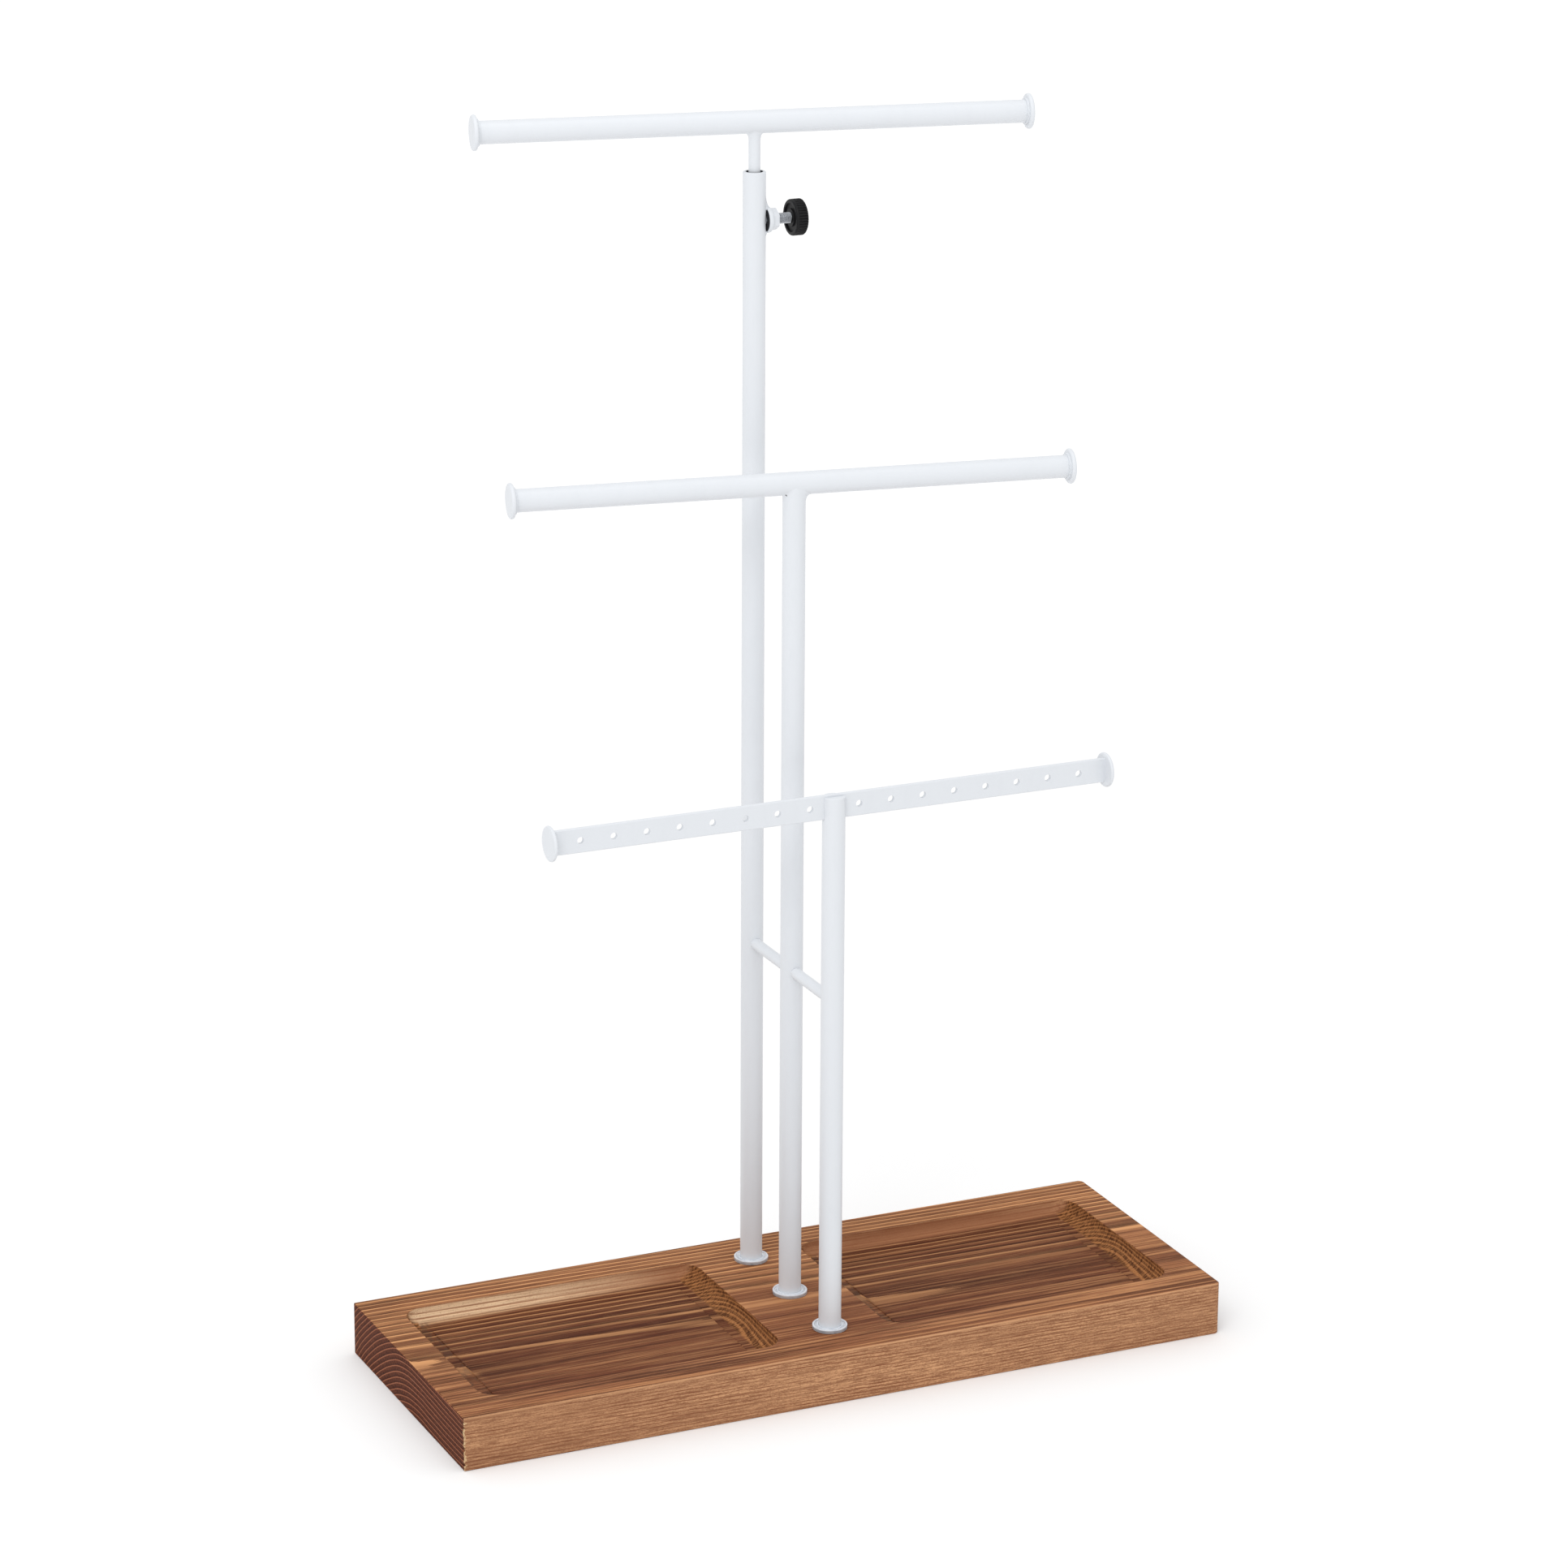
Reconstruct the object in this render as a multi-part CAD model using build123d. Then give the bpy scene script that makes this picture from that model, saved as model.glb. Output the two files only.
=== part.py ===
"""Jewellery tree: a stained pine board with two milled trays and three steel T poles.

Millimetres, +Z up. The origin is the centre of the board's underside, X runs along
the board and -Y is its front. The poles stand in one row from rear to front, the
rear one tallest. The top T telescopes and turns in the rear pole, and a knurled
thumbscrew in a welded flange nut clamps it.
"""

from build123d import *
from math import cos, radians, sin
import os

# ---- board -------------------------------------------------------------------
board_length = 300.0
board_width = 112.0
board_thick = 20.0
board_round = 2.2          # rounded vertical corners at the right end
board_edge_break = 0.6     # softened long edges of the top face

# ---- trays -------------------------------------------------------------------
tray_end_margin = 13.0     # wood left outside each tray, along X
tray_side_margin = 14.0    # wood left outside each tray, along Y
tray_land = 42.0           # wood left between the two trays, where the poles stand
tray_depth = 6.5           # depth of the round-nosed track along the walls
tray_lip = 0.5             # straight wall above the coved part
tray_corner_extra = 2.0    # plan corner radius beyond the cove radius
tray_panel_inset = 9.0     # from the tray's rim to the raised middle of its floor
tray_panel_rise = 0.4
tray_panel_corner = 0.8

# ---- poles -------------------------------------------------------------------
pole_d = 8.2
pole_bore = 5.8
pole_spacing = 35.0
pole_mouth_round = 0.25
rear_pole_rise = 411.5     # a rise is a height above the board's top face
mid_bar_rise = 307.0
earring_bar_rise = 198.5
top_bar_lift = 17.5        # the top bar's axis above the rear pole's mouth
tie_rise = 126.0
tie_d = 4.2

# ---- round bars and their end discs --------------------------------------------
bar_d = 8.2
bar_bore = 5.8
top_bar_span = 201.0       # over the end discs
mid_bar_span = 205.0
top_bar_turn = -10.5       # degrees about the pole
mid_bar_turn = -9.0
disc_d = 12.6
disc_thick = 1.6
disc_round = 0.7
collar_reach = 0.7         # how far the collar stands out round the bar
collar_thick = 0.7
spigot_length = 4.0

# ---- earring bar ---------------------------------------------------------------
strip_span = 216.0         # over the end discs
strip_height = 9.0
strip_thick = 1.5
strip_edge_round = 0.4     # rounded long edges of the flat bar
strip_disc_thick = 1.2
strip_disc_round = 0.5
hole_d = 2.5
hole_pitch = 12.4
hole_first = 9.5           # from the pole's centre to the first hole on each side
holes_per_side = 8
front_pole_top_drop = 0.9  # the pole's top lies this far below the strip's top edge
front_plug_length = 3.0    # solid metal left below the slot

# ---- telescopic rod --------------------------------------------------------------
rod_d = 4.2
rod_length = 140.0
rod_neck_d = 3.2           # turned neck that the split guide bush snaps on
rod_foot = 3.0             # full-diameter foot below the neck
bush_length = 8.0
bush_split = 0.8

# ---- welds -----------------------------------------------------------------------
weld_flare = 1.9           # how far a T weld spreads beyond its tube
weld_height = 3.2
weld_overlap = 1.0         # how far a T weld runs up round the bar
rod_weld_flare = 1.1       # a T weld's spread on the telescopic rod
nut_weld_width = 3.4
nut_weld_up = 3.8
nut_weld_down = 1.5

# ---- clamp -----------------------------------------------------------------------
clamp_drop = 17.5          # the thumbscrew's axis below the rear pole's mouth
nut_flange_d = 9.4
nut_flange_thick = 1.6
nut_flats = 7.0
nut_height = 4.3           # flange and hexagon together
screw_d = 3.9
screw_pitch = 0.7
thread_depth = 0.4
knob_standoff = 5.4        # bare thread between nut and knob, clamped
knob_d = 13.0
knob_thick = 4.5
knob_edge = 0.5
knob_grooves = 40
knob_groove_depth = 0.45
knob_hub_d = 6.4
knob_ring_d = 10.2
knob_recess = 0.7
knob_socket = 3.6          # length of thread moulded into the knob

# ---- feet and fasteners ------------------------------------------------------------
cup_floor = 0.8            # clear plastic cup washer under each pole
cup_height = 1.6
cup_seat_wall = 0.7        # outwards from the pole: seat ring, shallow groove, lip
cup_groove_width = 0.88
cup_lip_wall = 0.7
cup_groove_floor = 0.9
insert_length = 12.0       # threaded insert pressed into each pole's foot
base_screw_d = 3.9
base_screw_grip = 10.0     # thread inside the insert
screw_head_d = 7.6
screw_head_height = 2.6
screw_recess = 1.4
recess_arm = 4.4
recess_width = 1.1
plate_washer_d = 9.0
plate_washer_thick = 0.8
counterbore_d = 12.0
counterbore_depth = 6.0

# ---- clearances --------------------------------------------------------------------
slide_clear = 0.05         # radial, bush in pole and rod neck in bush
neck_end_clear = 0.1
thread_clear = 0.06        # radial, threads in their nuts, inserts and knob
press_clear = 0.02         # radial, spigots, inserts and seats
weld_gap = 0.02            # between two welded tubes
board_hole_clear = 0.4     # radial, screws through the board
screw_tip_clear = 0.1      # thumbscrew tip to the rod

# ---- places worked out from the sizes --------------------------------------------
rear_y = pole_spacing
mid_y = 0.0
front_y = -pole_spacing
pole_foot = board_thick + cup_floor
rear_pole_top = board_thick + rear_pole_rise
top_bar_z = rear_pole_top + top_bar_lift
mid_bar_z = board_thick + mid_bar_rise
strip_z = board_thick + earring_bar_rise
tie_z = board_thick + tie_rise
clamp_z = rear_pole_top - clamp_drop
rod_top = top_bar_z - bar_d / 2
rod_bottom = rod_top - rod_length
neck_bottom = rod_bottom + rod_foot
neck_length = bush_length + 2 * neck_end_clear
nut_x = pole_d / 2
nut_end_x = nut_x + nut_height
knob_x = nut_end_x + knob_standoff
cove_r = tray_depth - tray_lip
collar_d = bar_d + 2 * collar_reach


def ring(outer_d, inner_d, height, z=0.0):
    """A plain tube standing on z."""
    wall = Cylinder(outer_d / 2, height) - Cylinder(inner_d / 2, height)
    return Pos(0, 0, z + height / 2) * wall


def rod(d, height, z=0.0):
    """A plain upright round rod standing on z."""
    return Pos(0, 0, z + height / 2) * Cylinder(d / 2, height)


def along_x(d, length, z=0.0, turn=0.0):
    """A round rod lying along X, centred on the axis at height z and turned about it."""
    return Pos(0, 0, z) * Rot(0, 0, turn) * Rot(0, 90, 0) * Cylinder(d / 2, length)


def cone_flare(d, spread, z_low, height):
    """The metal of a T weld: a cone that widens upwards round a tube."""
    cone = Cone(d / 2, d / 2 + spread, height)
    return Pos(0, 0, z_low + height / 2) * cone


def threaded_rod(d, length, pitch, depth):
    """A rod along +X from x = 0 with V rings at the thread's pitch."""
    outer, root = d / 2, d / 2 - depth
    turns = int(length / pitch)
    points = [(0, 0), (0, root)]
    for turn in range(turns):
        points.append(((turn + 0.5) * pitch, outer))
        points.append(((turn + 1) * pitch, root))
    points += [(length, root), (length, 0)]
    profile = make_face(Polyline(*dict.fromkeys(points), close=True))
    return revolve(profile, Axis.X)


# ---- board -------------------------------------------------------------------------
def tray_cut(side):
    """One tray: coved walls and a deeper track round a slightly raised floor."""
    length = (board_length - tray_land) / 2 - tray_end_margin
    width = board_width - 2 * tray_side_margin
    pocket = extrude(RectangleRounded(length, width, cove_r + tray_corner_extra), tray_depth)
    pocket = fillet(pocket.edges().group_by(Axis.Z)[0], cove_r)
    panel_length = length - 2 * tray_panel_inset
    panel_width = width - 2 * tray_panel_inset
    panel = extrude(RectangleRounded(panel_length, panel_width, tray_panel_corner), tray_panel_rise)
    x = side * (tray_land + length) / 2
    return Pos(x, 0, board_thick - tray_depth) * (pocket - panel)


def wood_board():
    board = extrude(Rectangle(board_length, board_width), board_thick)
    right_end = board.edges().filter_by(Axis.Z).group_by(Axis.X)[-1]
    board = fillet(right_end, board_round)
    long_edges = board.edges().filter_by(Axis.X).group_by(Axis.Z)[-1]
    board = chamfer(long_edges, board_edge_break)
    board -= tray_cut(-1)
    board -= tray_cut(1)
    hole_size = base_screw_d + 2 * board_hole_clear
    for y in (rear_y, mid_y, front_y):
        board -= Pos(0, y, 0) * rod(hole_size, board_thick)
        board -= Pos(0, y, 0) * rod(counterbore_d, counterbore_depth)
    return board


# ---- feet and fasteners under one pole ----------------------------------------------
def foot_cup():
    """Clear cup washer: a seat ring for the pole, a shallow groove and a raised lip."""
    seat_d = pole_d + 2 * press_clear
    groove_inner_d = seat_d + 2 * cup_seat_wall
    groove_outer_d = groove_inner_d + 2 * cup_groove_width
    cup = rod(groove_outer_d + 2 * cup_lip_wall, cup_height)
    cup -= rod(seat_d, cup_height, cup_floor)
    cup -= ring(groove_outer_d, groove_inner_d, cup_height, cup_groove_floor)
    cup -= rod(base_screw_d + 2 * board_hole_clear, cup_height)
    return Pos(0, 0, board_thick) * cup


def pole_insert():
    bore = base_screw_d + 2 * thread_clear
    return ring(pole_bore - 2 * press_clear, bore, insert_length, pole_foot)


def base_screw():
    """Pan-head screw with a cross recess, driven up from the counterbore."""
    seat_z = counterbore_depth - plate_washer_thick
    length = pole_foot + base_screw_grip - seat_z
    shank = Rot(0, -90, 0) * threaded_rod(base_screw_d, length, screw_pitch, thread_depth)
    head = rod(screw_head_d, screw_head_height)
    head = fillet(head.edges().group_by(Axis.Z)[0], screw_head_height / 2)
    for turn in (0, 90):
        arm = Box(recess_arm, recess_width, screw_recess)
        head -= Rot(0, 0, turn) * Pos(0, 0, screw_recess / 2) * arm
    return Pos(0, 0, seat_z) * shank + Pos(0, 0, seat_z - screw_head_height) * head


def plate_washer():
    inner = base_screw_d + 2 * board_hole_clear
    return ring(plate_washer_d, inner, plate_washer_thick, counterbore_depth - plate_washer_thick)


# ---- poles ---------------------------------------------------------------------------
def rear_pole():
    """Open tube that the telescopic rod slides in, with the clamp screw's side hole."""
    pole = ring(pole_d, pole_bore, rear_pole_top - pole_foot, pole_foot)
    mouth = pole.edges().filter_by(GeomType.CIRCLE).group_by(Axis.Z)[-1]
    pole = fillet(mouth, pole_mouth_round)
    side_hole = Pos(pole_d / 2, 0, clamp_z) * Rot(0, 90, 0)
    return pole - side_hole * Cylinder(screw_d / 2 + thread_clear, pole_d)


def mid_pole():
    """Tube coped and welded under the middle bar."""
    pole = rod(pole_d, mid_bar_z - pole_foot, pole_foot)
    weld_z = mid_bar_z - bar_d / 2 - weld_height + weld_overlap
    pole += cone_flare(pole_d, weld_flare, weld_z, weld_height)
    pole -= rod(pole_bore, mid_bar_z - pole_foot, pole_foot)
    return pole - along_x(bar_d + 2 * weld_gap, mid_bar_span, mid_bar_z, mid_bar_turn)


def front_pole():
    """Tube with a solid top, slotted across for the earring bar."""
    slot_bottom = strip_z - strip_height / 2
    top = strip_z + strip_height / 2 - front_pole_top_drop
    pole = rod(pole_d, top - pole_foot, pole_foot)
    pole = fillet(pole.edges().group_by(Axis.Z)[-1], pole_mouth_round)
    pole -= rod(pole_bore, slot_bottom - front_plug_length - pole_foot, pole_foot)
    slot = Box(2 * pole_d, strip_thick + 2 * press_clear, 2 * strip_height)
    return pole - Pos(0, 0, slot_bottom + strip_height) * slot


def tie_rod(y_from, y_to):
    """Short round bar welded between two neighbouring poles."""
    middle, length = (y_from + y_to) / 2, abs(y_to - y_from)
    tie = Pos(0, middle, tie_z) * Rot(90, 0, 0) * Cylinder(tie_d / 2, length)
    for y in (y_from, y_to):
        tie -= Pos(0, y, 0) * rod(pole_d + 2 * weld_gap, 2 * tie_z)
    return tie


# ---- round bars ------------------------------------------------------------------------
def round_bar(span, z, turn):
    length = span - 2 * (disc_thick + collar_thick)
    return along_x(bar_d, length, z, turn) - along_x(bar_bore, span, z, turn)


def bar_cap(span, z, turn, side):
    """End disc with a collar and a spigot that plugs the bar's bore."""
    disc = fillet(Cylinder(disc_d / 2, disc_thick).edges(), disc_round)
    disc = Pos(0, 0, -disc_thick / 2) * disc
    collar = rod(collar_d, collar_thick, -disc_thick - collar_thick)
    spigot_top = -disc_thick - collar_thick
    spigot = rod(bar_bore - 2 * press_clear, spigot_length, spigot_top - spigot_length)
    cap = Rot(0, 90 * side, 0) * (disc + collar + spigot)
    return Pos(0, 0, z) * Rot(0, 0, turn) * Pos(side * span / 2, 0, 0) * cap


# ---- earring bar --------------------------------------------------------------------------
def earring_bar():
    length = strip_span - 2 * strip_disc_thick
    strip = Box(length, strip_thick, strip_height)
    strip = fillet(strip.edges().filter_by(Axis.X), strip_edge_round)
    hole = Rot(90, 0, 0) * Cylinder(hole_d / 2, 2 * strip_thick)
    for side in (-1, 1):
        for number in range(holes_per_side):
            strip -= Pos(side * (hole_first + number * hole_pitch), 0, 0) * hole
    return Pos(0, 0, strip_z) * strip


def earring_cap(side):
    disc = Cylinder(disc_d / 2, strip_disc_thick)
    disc = Rot(0, 90, 0) * fillet(disc.edges(), strip_disc_round)
    return Pos(side * (strip_span - strip_disc_thick) / 2, 0, strip_z) * disc


# ---- telescopic rod and clamp ----------------------------------------------------------------
def telescopic_rod():
    """Rod coped under the top bar, with a turned neck for the guide bush."""
    stem = rod(rod_d, top_bar_z - rod_bottom, rod_bottom)
    weld_z = rod_top - weld_height + weld_overlap
    stem += cone_flare(rod_d, rod_weld_flare, weld_z, weld_height)
    stem -= ring(2 * rod_d, rod_neck_d, neck_length, neck_bottom)
    return stem - along_x(bar_d + 2 * weld_gap, top_bar_span, top_bar_z, top_bar_turn)


def guide_bush():
    """Split nylon bush on the rod's neck that slides in the pole's bore."""
    outer = pole_bore - 2 * slide_clear
    inner = rod_neck_d + 2 * slide_clear
    bush = ring(outer, inner, bush_length, neck_bottom + neck_end_clear)
    split = Box(outer, bush_split, bush_length)
    split_z = neck_bottom + neck_end_clear + bush_length / 2
    return bush - Pos(-outer / 2, 0, split_z) * split


def clamp_nut():
    """Flanged hexagon nut welded on the side of the rear pole."""
    flange = rod(nut_flange_d, nut_flange_thick)
    hexagon = extrude(RegularPolygon(nut_flats / 2, 6, major_radius=False), nut_height)
    nut = Pos(nut_x, 0, clamp_z) * Rot(0, 90, 0) * (flange + hexagon)
    for direction, reach in ((1, nut_weld_up), (-1, nut_weld_down)):
        rim = direction * nut_flange_d / 2
        inner_x = nut_x - nut_flange_thick
        bead = make_face(Polyline(
            (inner_x, rim + direction * reach),
            (inner_x, rim - direction * nut_flange_thick),
            (nut_x + nut_flange_thick, rim - direction * nut_flange_thick),
            (nut_x + nut_flange_thick / 2, rim),
            (nut_x, rim + direction * reach),
            close=True,
        ))
        bead = extrude(Plane.XZ * bead, nut_weld_width / 2, both=True)
        nut += Pos(0, 0, clamp_z) * bead
    nut -= rod(pole_d + 2 * weld_gap, 2 * clamp_z)
    bore = Pos(nut_x, 0, clamp_z) * Rot(0, 90, 0)
    return nut - bore * Cylinder(screw_d / 2 + thread_clear, 4 * nut_height)


def clamp_screw():
    tip_x = rod_d / 2 + screw_tip_clear
    length = knob_x + knob_socket - tip_x
    return Pos(tip_x, 0, clamp_z) * threaded_rod(screw_d, length, screw_pitch, thread_depth)


def clamp_knob():
    """Black knob with straight knurling and a ringed recess on its inner face."""
    knob = rod(knob_d, knob_thick)
    knob = chamfer(knob.edges(), knob_edge)
    for number in range(knob_grooves):
        angle = radians(360 * number / knob_grooves)
        place = Pos(knob_d / 2 * cos(angle), knob_d / 2 * sin(angle), knob_thick / 2)
        tool = Rot(0, 0, 360 * number / knob_grooves + 45)
        knob -= place * tool * Box(knob_groove_depth, knob_groove_depth, knob_thick)
    knob -= ring(knob_ring_d, knob_hub_d, knob_recess)
    knob -= rod(screw_d + 2 * thread_clear, knob_socket + neck_end_clear)
    return Pos(knob_x, 0, clamp_z) * Rot(0, 90, 0) * knob


# ---- every piece by name -------------------------------------------------------------------------
poles = {"rear": rear_y, "mid": mid_y, "front": front_y}
sides = {"left": -1, "right": 1}
rear = Pos(0, rear_y, 0)
front = Pos(0, front_y, 0)

pieces = {
    "wood_board": wood_board(),
    "rear_pole": rear * rear_pole(),
    "mid_pole": mid_pole(),
    "front_pole": front * front_pole(),
    "tie_rod_rear": tie_rod(rear_y, mid_y),
    "tie_rod_front": tie_rod(mid_y, front_y),
    "mid_bar": round_bar(mid_bar_span, mid_bar_z, mid_bar_turn),
    "top_bar": rear * round_bar(top_bar_span, top_bar_z, top_bar_turn),
    "earring_bar": front * earring_bar(),
    "telescopic_rod": rear * telescopic_rod(),
    "guide_bush": rear * guide_bush(),
    "clamp_nut": rear * clamp_nut(),
    "clamp_screw": rear * clamp_screw(),
    "clamp_knob": rear * clamp_knob(),
}
for name, y in poles.items():
    foot = Pos(0, y, 0)
    pieces[f"foot_cup_{name}"] = foot * foot_cup()
    pieces[f"pole_insert_{name}"] = foot * pole_insert()
    pieces[f"base_screw_{name}"] = foot * base_screw()
    pieces[f"plate_washer_{name}"] = foot * plate_washer()
for name, side in sides.items():
    pieces[f"mid_cap_{name}"] = bar_cap(mid_bar_span, mid_bar_z, mid_bar_turn, side)
    pieces[f"top_cap_{name}"] = rear * bar_cap(top_bar_span, top_bar_z, top_bar_turn, side)
    pieces[f"earring_cap_{name}"] = front * earring_cap(side)

os.makedirs("parts", exist_ok=True)
for name, piece in pieces.items():
    export_step(piece, f"parts/{name}.step")
    print(name, "volume", round(piece.volume, 2))
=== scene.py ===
"""Looks of a tabletop jewellery tree: a stained pine board with two milled trays, three
white steel poles with T bars, and a top T that telescopes in a screw clamp.

Lengths in the mesh functions are millimetres, scaled to metres when a piece is made.
"""

from math import radians
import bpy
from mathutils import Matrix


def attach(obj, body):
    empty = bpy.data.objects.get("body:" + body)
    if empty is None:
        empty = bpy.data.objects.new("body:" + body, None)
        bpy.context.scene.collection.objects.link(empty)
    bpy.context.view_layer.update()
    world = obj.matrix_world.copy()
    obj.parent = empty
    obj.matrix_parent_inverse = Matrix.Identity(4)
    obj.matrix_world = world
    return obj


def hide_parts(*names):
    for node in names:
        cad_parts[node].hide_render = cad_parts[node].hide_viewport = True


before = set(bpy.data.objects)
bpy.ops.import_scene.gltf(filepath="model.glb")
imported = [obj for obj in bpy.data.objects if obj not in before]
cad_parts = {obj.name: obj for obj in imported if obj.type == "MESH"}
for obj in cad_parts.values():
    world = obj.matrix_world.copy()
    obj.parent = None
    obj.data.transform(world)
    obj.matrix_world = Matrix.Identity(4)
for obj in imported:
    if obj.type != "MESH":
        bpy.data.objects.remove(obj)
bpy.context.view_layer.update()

from types import SimpleNamespace

import bmesh
import bpy
import numpy as np
from mathutils import Euler, Matrix, Vector

bl_info = {
    "name": "Jewellery Tree",
    "version": (1, 0, 0),
    "blender": (4, 5, 0),
    "location": "View3D > Sidebar > Jewellery Tree",
    "description": "Builds a jewellery tree stand's wood board, welded poles, thumbscrew and stage",
    "category": "Object",
}

MM = 0.001
WELD_GAP = 0.002

# Measures that the surfaces share with the solids, in millimetres.
BOARD_HALF = np.array([150.0, 56.0])
BOARD_TOP = 20.0
TOP_EDGE, LOW_EDGE = 0.6, 0.35
RIGHT_ROUND = 2.2
LEFT_ROUND = 0.25
TRAY_X = (21.0, 137.0)
TRAY_Y = 42.0
TRAY_FLOOR = BOARD_TOP - 6.5
TRAY_CORNER = 8.0
COVE = 6.0
PANEL_INSET = 9.0
PANEL_RISE = 0.4
PANEL_CORNER = 0.8
LAND_HALF = 14.0
POLE_Y = {"rear": 35.0, "mid": 0.0, "front": -35.0}
POLE_R = 4.1
POLE_BORE_R = 2.9
POLE_FOOT, POLE_TOP = 20.8, 431.5
BAR_R = 4.1
MID_BAR = {"z": 327.0, "turn": -9.0}
TOP_BAR = {"z": 449.0, "turn": -10.5}
ROD = {"r": 2.1, "bottom": 304.9, "neck_r": 1.6, "neck_low": 307.9, "neck_high": 316.1}
CLAMP_Z = 414.0
SCREW = {"r": 1.95, "depth": 0.4, "start": 2.2, "end": 17.4}
NUT = {"flange_r": 4.7, "flange": 1.6, "flats": 7.0, "height": 4.3, "bore_r": 2.01}
KNOB = {"x": 13.8, "r": 6.5, "thick": 4.5, "hub_r": 3.2, "ring_r": 5.1, "recess": 0.7}
CUP = {"r": 6.4, "bore_r": 2.35, "floor": 0.8, "height": 1.6, "seat_r": 4.12}
HOLE_R = 2.35
COUNTERBORE = {"r": 6.0, "depth": 6.0}

# The growth rings: how deep the pith lies below the board, and where and how roundly their
# arches begin to climb towards the back.
PITH_BELOW = 55.0
ARCH_FRONT = 8.0
ARCH_ROUND = 12.0


# ---- meshes -----------------------------------------------------------------------------

def quads(rows, columns, wrap_rows=False, wrap_columns=False):
    """Faces between neighbouring rows and columns of a grid whose points count row by row."""
    row = np.arange(rows if wrap_rows else rows - 1)[:, None]
    column = np.arange(columns if wrap_columns else columns - 1)[None, :]
    next_row, next_column = (row + 1) % rows, (column + 1) % columns
    corners = (
        row * columns + column,
        row * columns + next_column,
        next_row * columns + next_column,
        next_row * columns + column,
    )
    return np.stack(np.broadcast_arrays(*corners), -1).reshape(-1, 4)


def patch(points, wrap_rows=False, wrap_columns=False):
    """A grid of points, rows by columns by 3, as its points and faces."""
    rows, columns = points.shape[:2]
    return points.reshape(-1, 3), quads(rows, columns, wrap_rows, wrap_columns)


def make_piece(name, body, patches, slot, replaces, crease=35.0):
    """One closed mesh from patches whose shared edges are merged. It rides on a body, takes
    the place of solids and has its slot's finish."""
    counts = np.cumsum([0] + [len(points) for points, faces in patches])
    points = np.concatenate([points for points, faces in patches]) * MM
    faces = np.concatenate([faces + start for (_, faces), start in zip(patches, counts)])
    mesh = bpy.data.meshes.new(name)
    mesh.from_pydata(points.tolist(), [], faces.tolist())
    work = bmesh.new()
    work.from_mesh(mesh)
    bmesh.ops.remove_doubles(work, verts=work.verts, dist=WELD_GAP * MM)
    bmesh.ops.dissolve_degenerate(work, edges=work.edges, dist=WELD_GAP * MM / 4)
    bmesh.ops.recalc_face_normals(work, faces=work.faces)
    work.to_mesh(mesh)
    work.free()
    mesh.shade_smooth()
    mesh.set_sharp_from_angle(angle=radians(crease))
    mesh.materials.append(finish(slot))
    piece = bpy.data.objects.new(name, mesh)
    bpy.context.scene.collection.objects.link(piece)
    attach(piece, body)
    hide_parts(*replaces)
    return piece


def rounded(corners, radius, steps=5):
    """A profile with rounded corners: each corner C becomes the parabola
    (1 - t)^2 A + 2 t (1 - t) C + t^2 B, where A and B lie a radius from C on its sides."""
    corners = np.asarray(corners, float)
    middle = corners[1:-1]
    reach = np.broadcast_to(np.asarray(radius, float), len(middle))[:, None]

    def towards(other):
        way = other - middle
        length = np.linalg.norm(way, axis=1, keepdims=True)
        return middle + way / length * np.minimum(reach, length / 2)

    start, end = towards(corners[:-2]), towards(corners[2:])
    t = np.linspace(0, 1, steps + 1)[None, :, None]
    arcs = (1 - t) ** 2 * start[:, None] + 2 * t * (1 - t) * middle[:, None] + t**2 * end[:, None]
    return np.vstack([corners[:1], arcs.reshape(-1, 2), corners[-1:]])


def ring_angles(segments):
    """Even angles round a full turn, without the last, which is the first again."""
    return np.arange(segments) * 2 * np.pi / segments


def turned(radius, height, segments):
    """A surface about Z: x = r cos a, y = r sin a, z = height."""
    angle = ring_angles(segments)
    x, y = radius * np.cos(angle), radius * np.sin(angle)
    return np.stack(np.broadcast_arrays(x, y, height), -1)


def lathe(profile, segments):
    """Turns (radius, height) pairs about Z."""
    profile = np.asarray(profile, float)
    return turned(profile[:, :1], profile[:, 1:], segments)


def placed(points, x=0.0, y=0.0, z=0.0, turn=0.0):
    """Points turned about Z by a number of degrees, then moved."""
    angle = radians(turn)
    spin = np.array(
        [[np.cos(angle), -np.sin(angle), 0], [np.sin(angle), np.cos(angle), 0], [0, 0, 1]]
    )
    return points @ spin.T + np.array([x, y, z])


def lying(points):
    """Points whose Z axis is laid along +X, so that a lathe stands out sideways."""
    return points[..., [2, 0, 1]]


# ---- board --------------------------------------------------------------------------------

def loop_weights(along_x, along_y, corner):
    """Centre weights and outward normals of a rounded rectangle's loop, anticlockwise from
    the lower end of its right side. The weights run from -1 to 1 on each axis."""
    x, y = np.linspace(-1, 1, along_x + 1), np.linspace(-1, 1, along_y + 1)
    bend = np.linspace(0, np.pi / 2, corner + 1)[1:-1]
    one_x, one_y, one_b = np.ones_like(x), np.ones_like(y), np.ones_like(bend)
    sides = [
        (one_y, y, one_y, 0 * y),
        (one_b, one_b, np.cos(bend), np.sin(bend)),
        (-x, one_x, 0 * x, one_x),
        (-one_b, one_b, -np.sin(bend), np.cos(bend)),
        (-one_y, -y, -one_y, 0 * y),
        (-one_b, -one_b, -np.cos(bend), -np.sin(bend)),
        (x, -one_x, 0 * x, -one_x),
        (one_b, -one_b, np.sin(bend), -np.cos(bend)),
    ]
    columns = [np.concatenate([side[k] for side in sides]) for k in range(4)]
    return np.stack(columns[:2], -1), np.stack(columns[2:], -1)


LOOP_CENTRE, LOOP_NORMAL = loop_weights(100, 64, 10)


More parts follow.
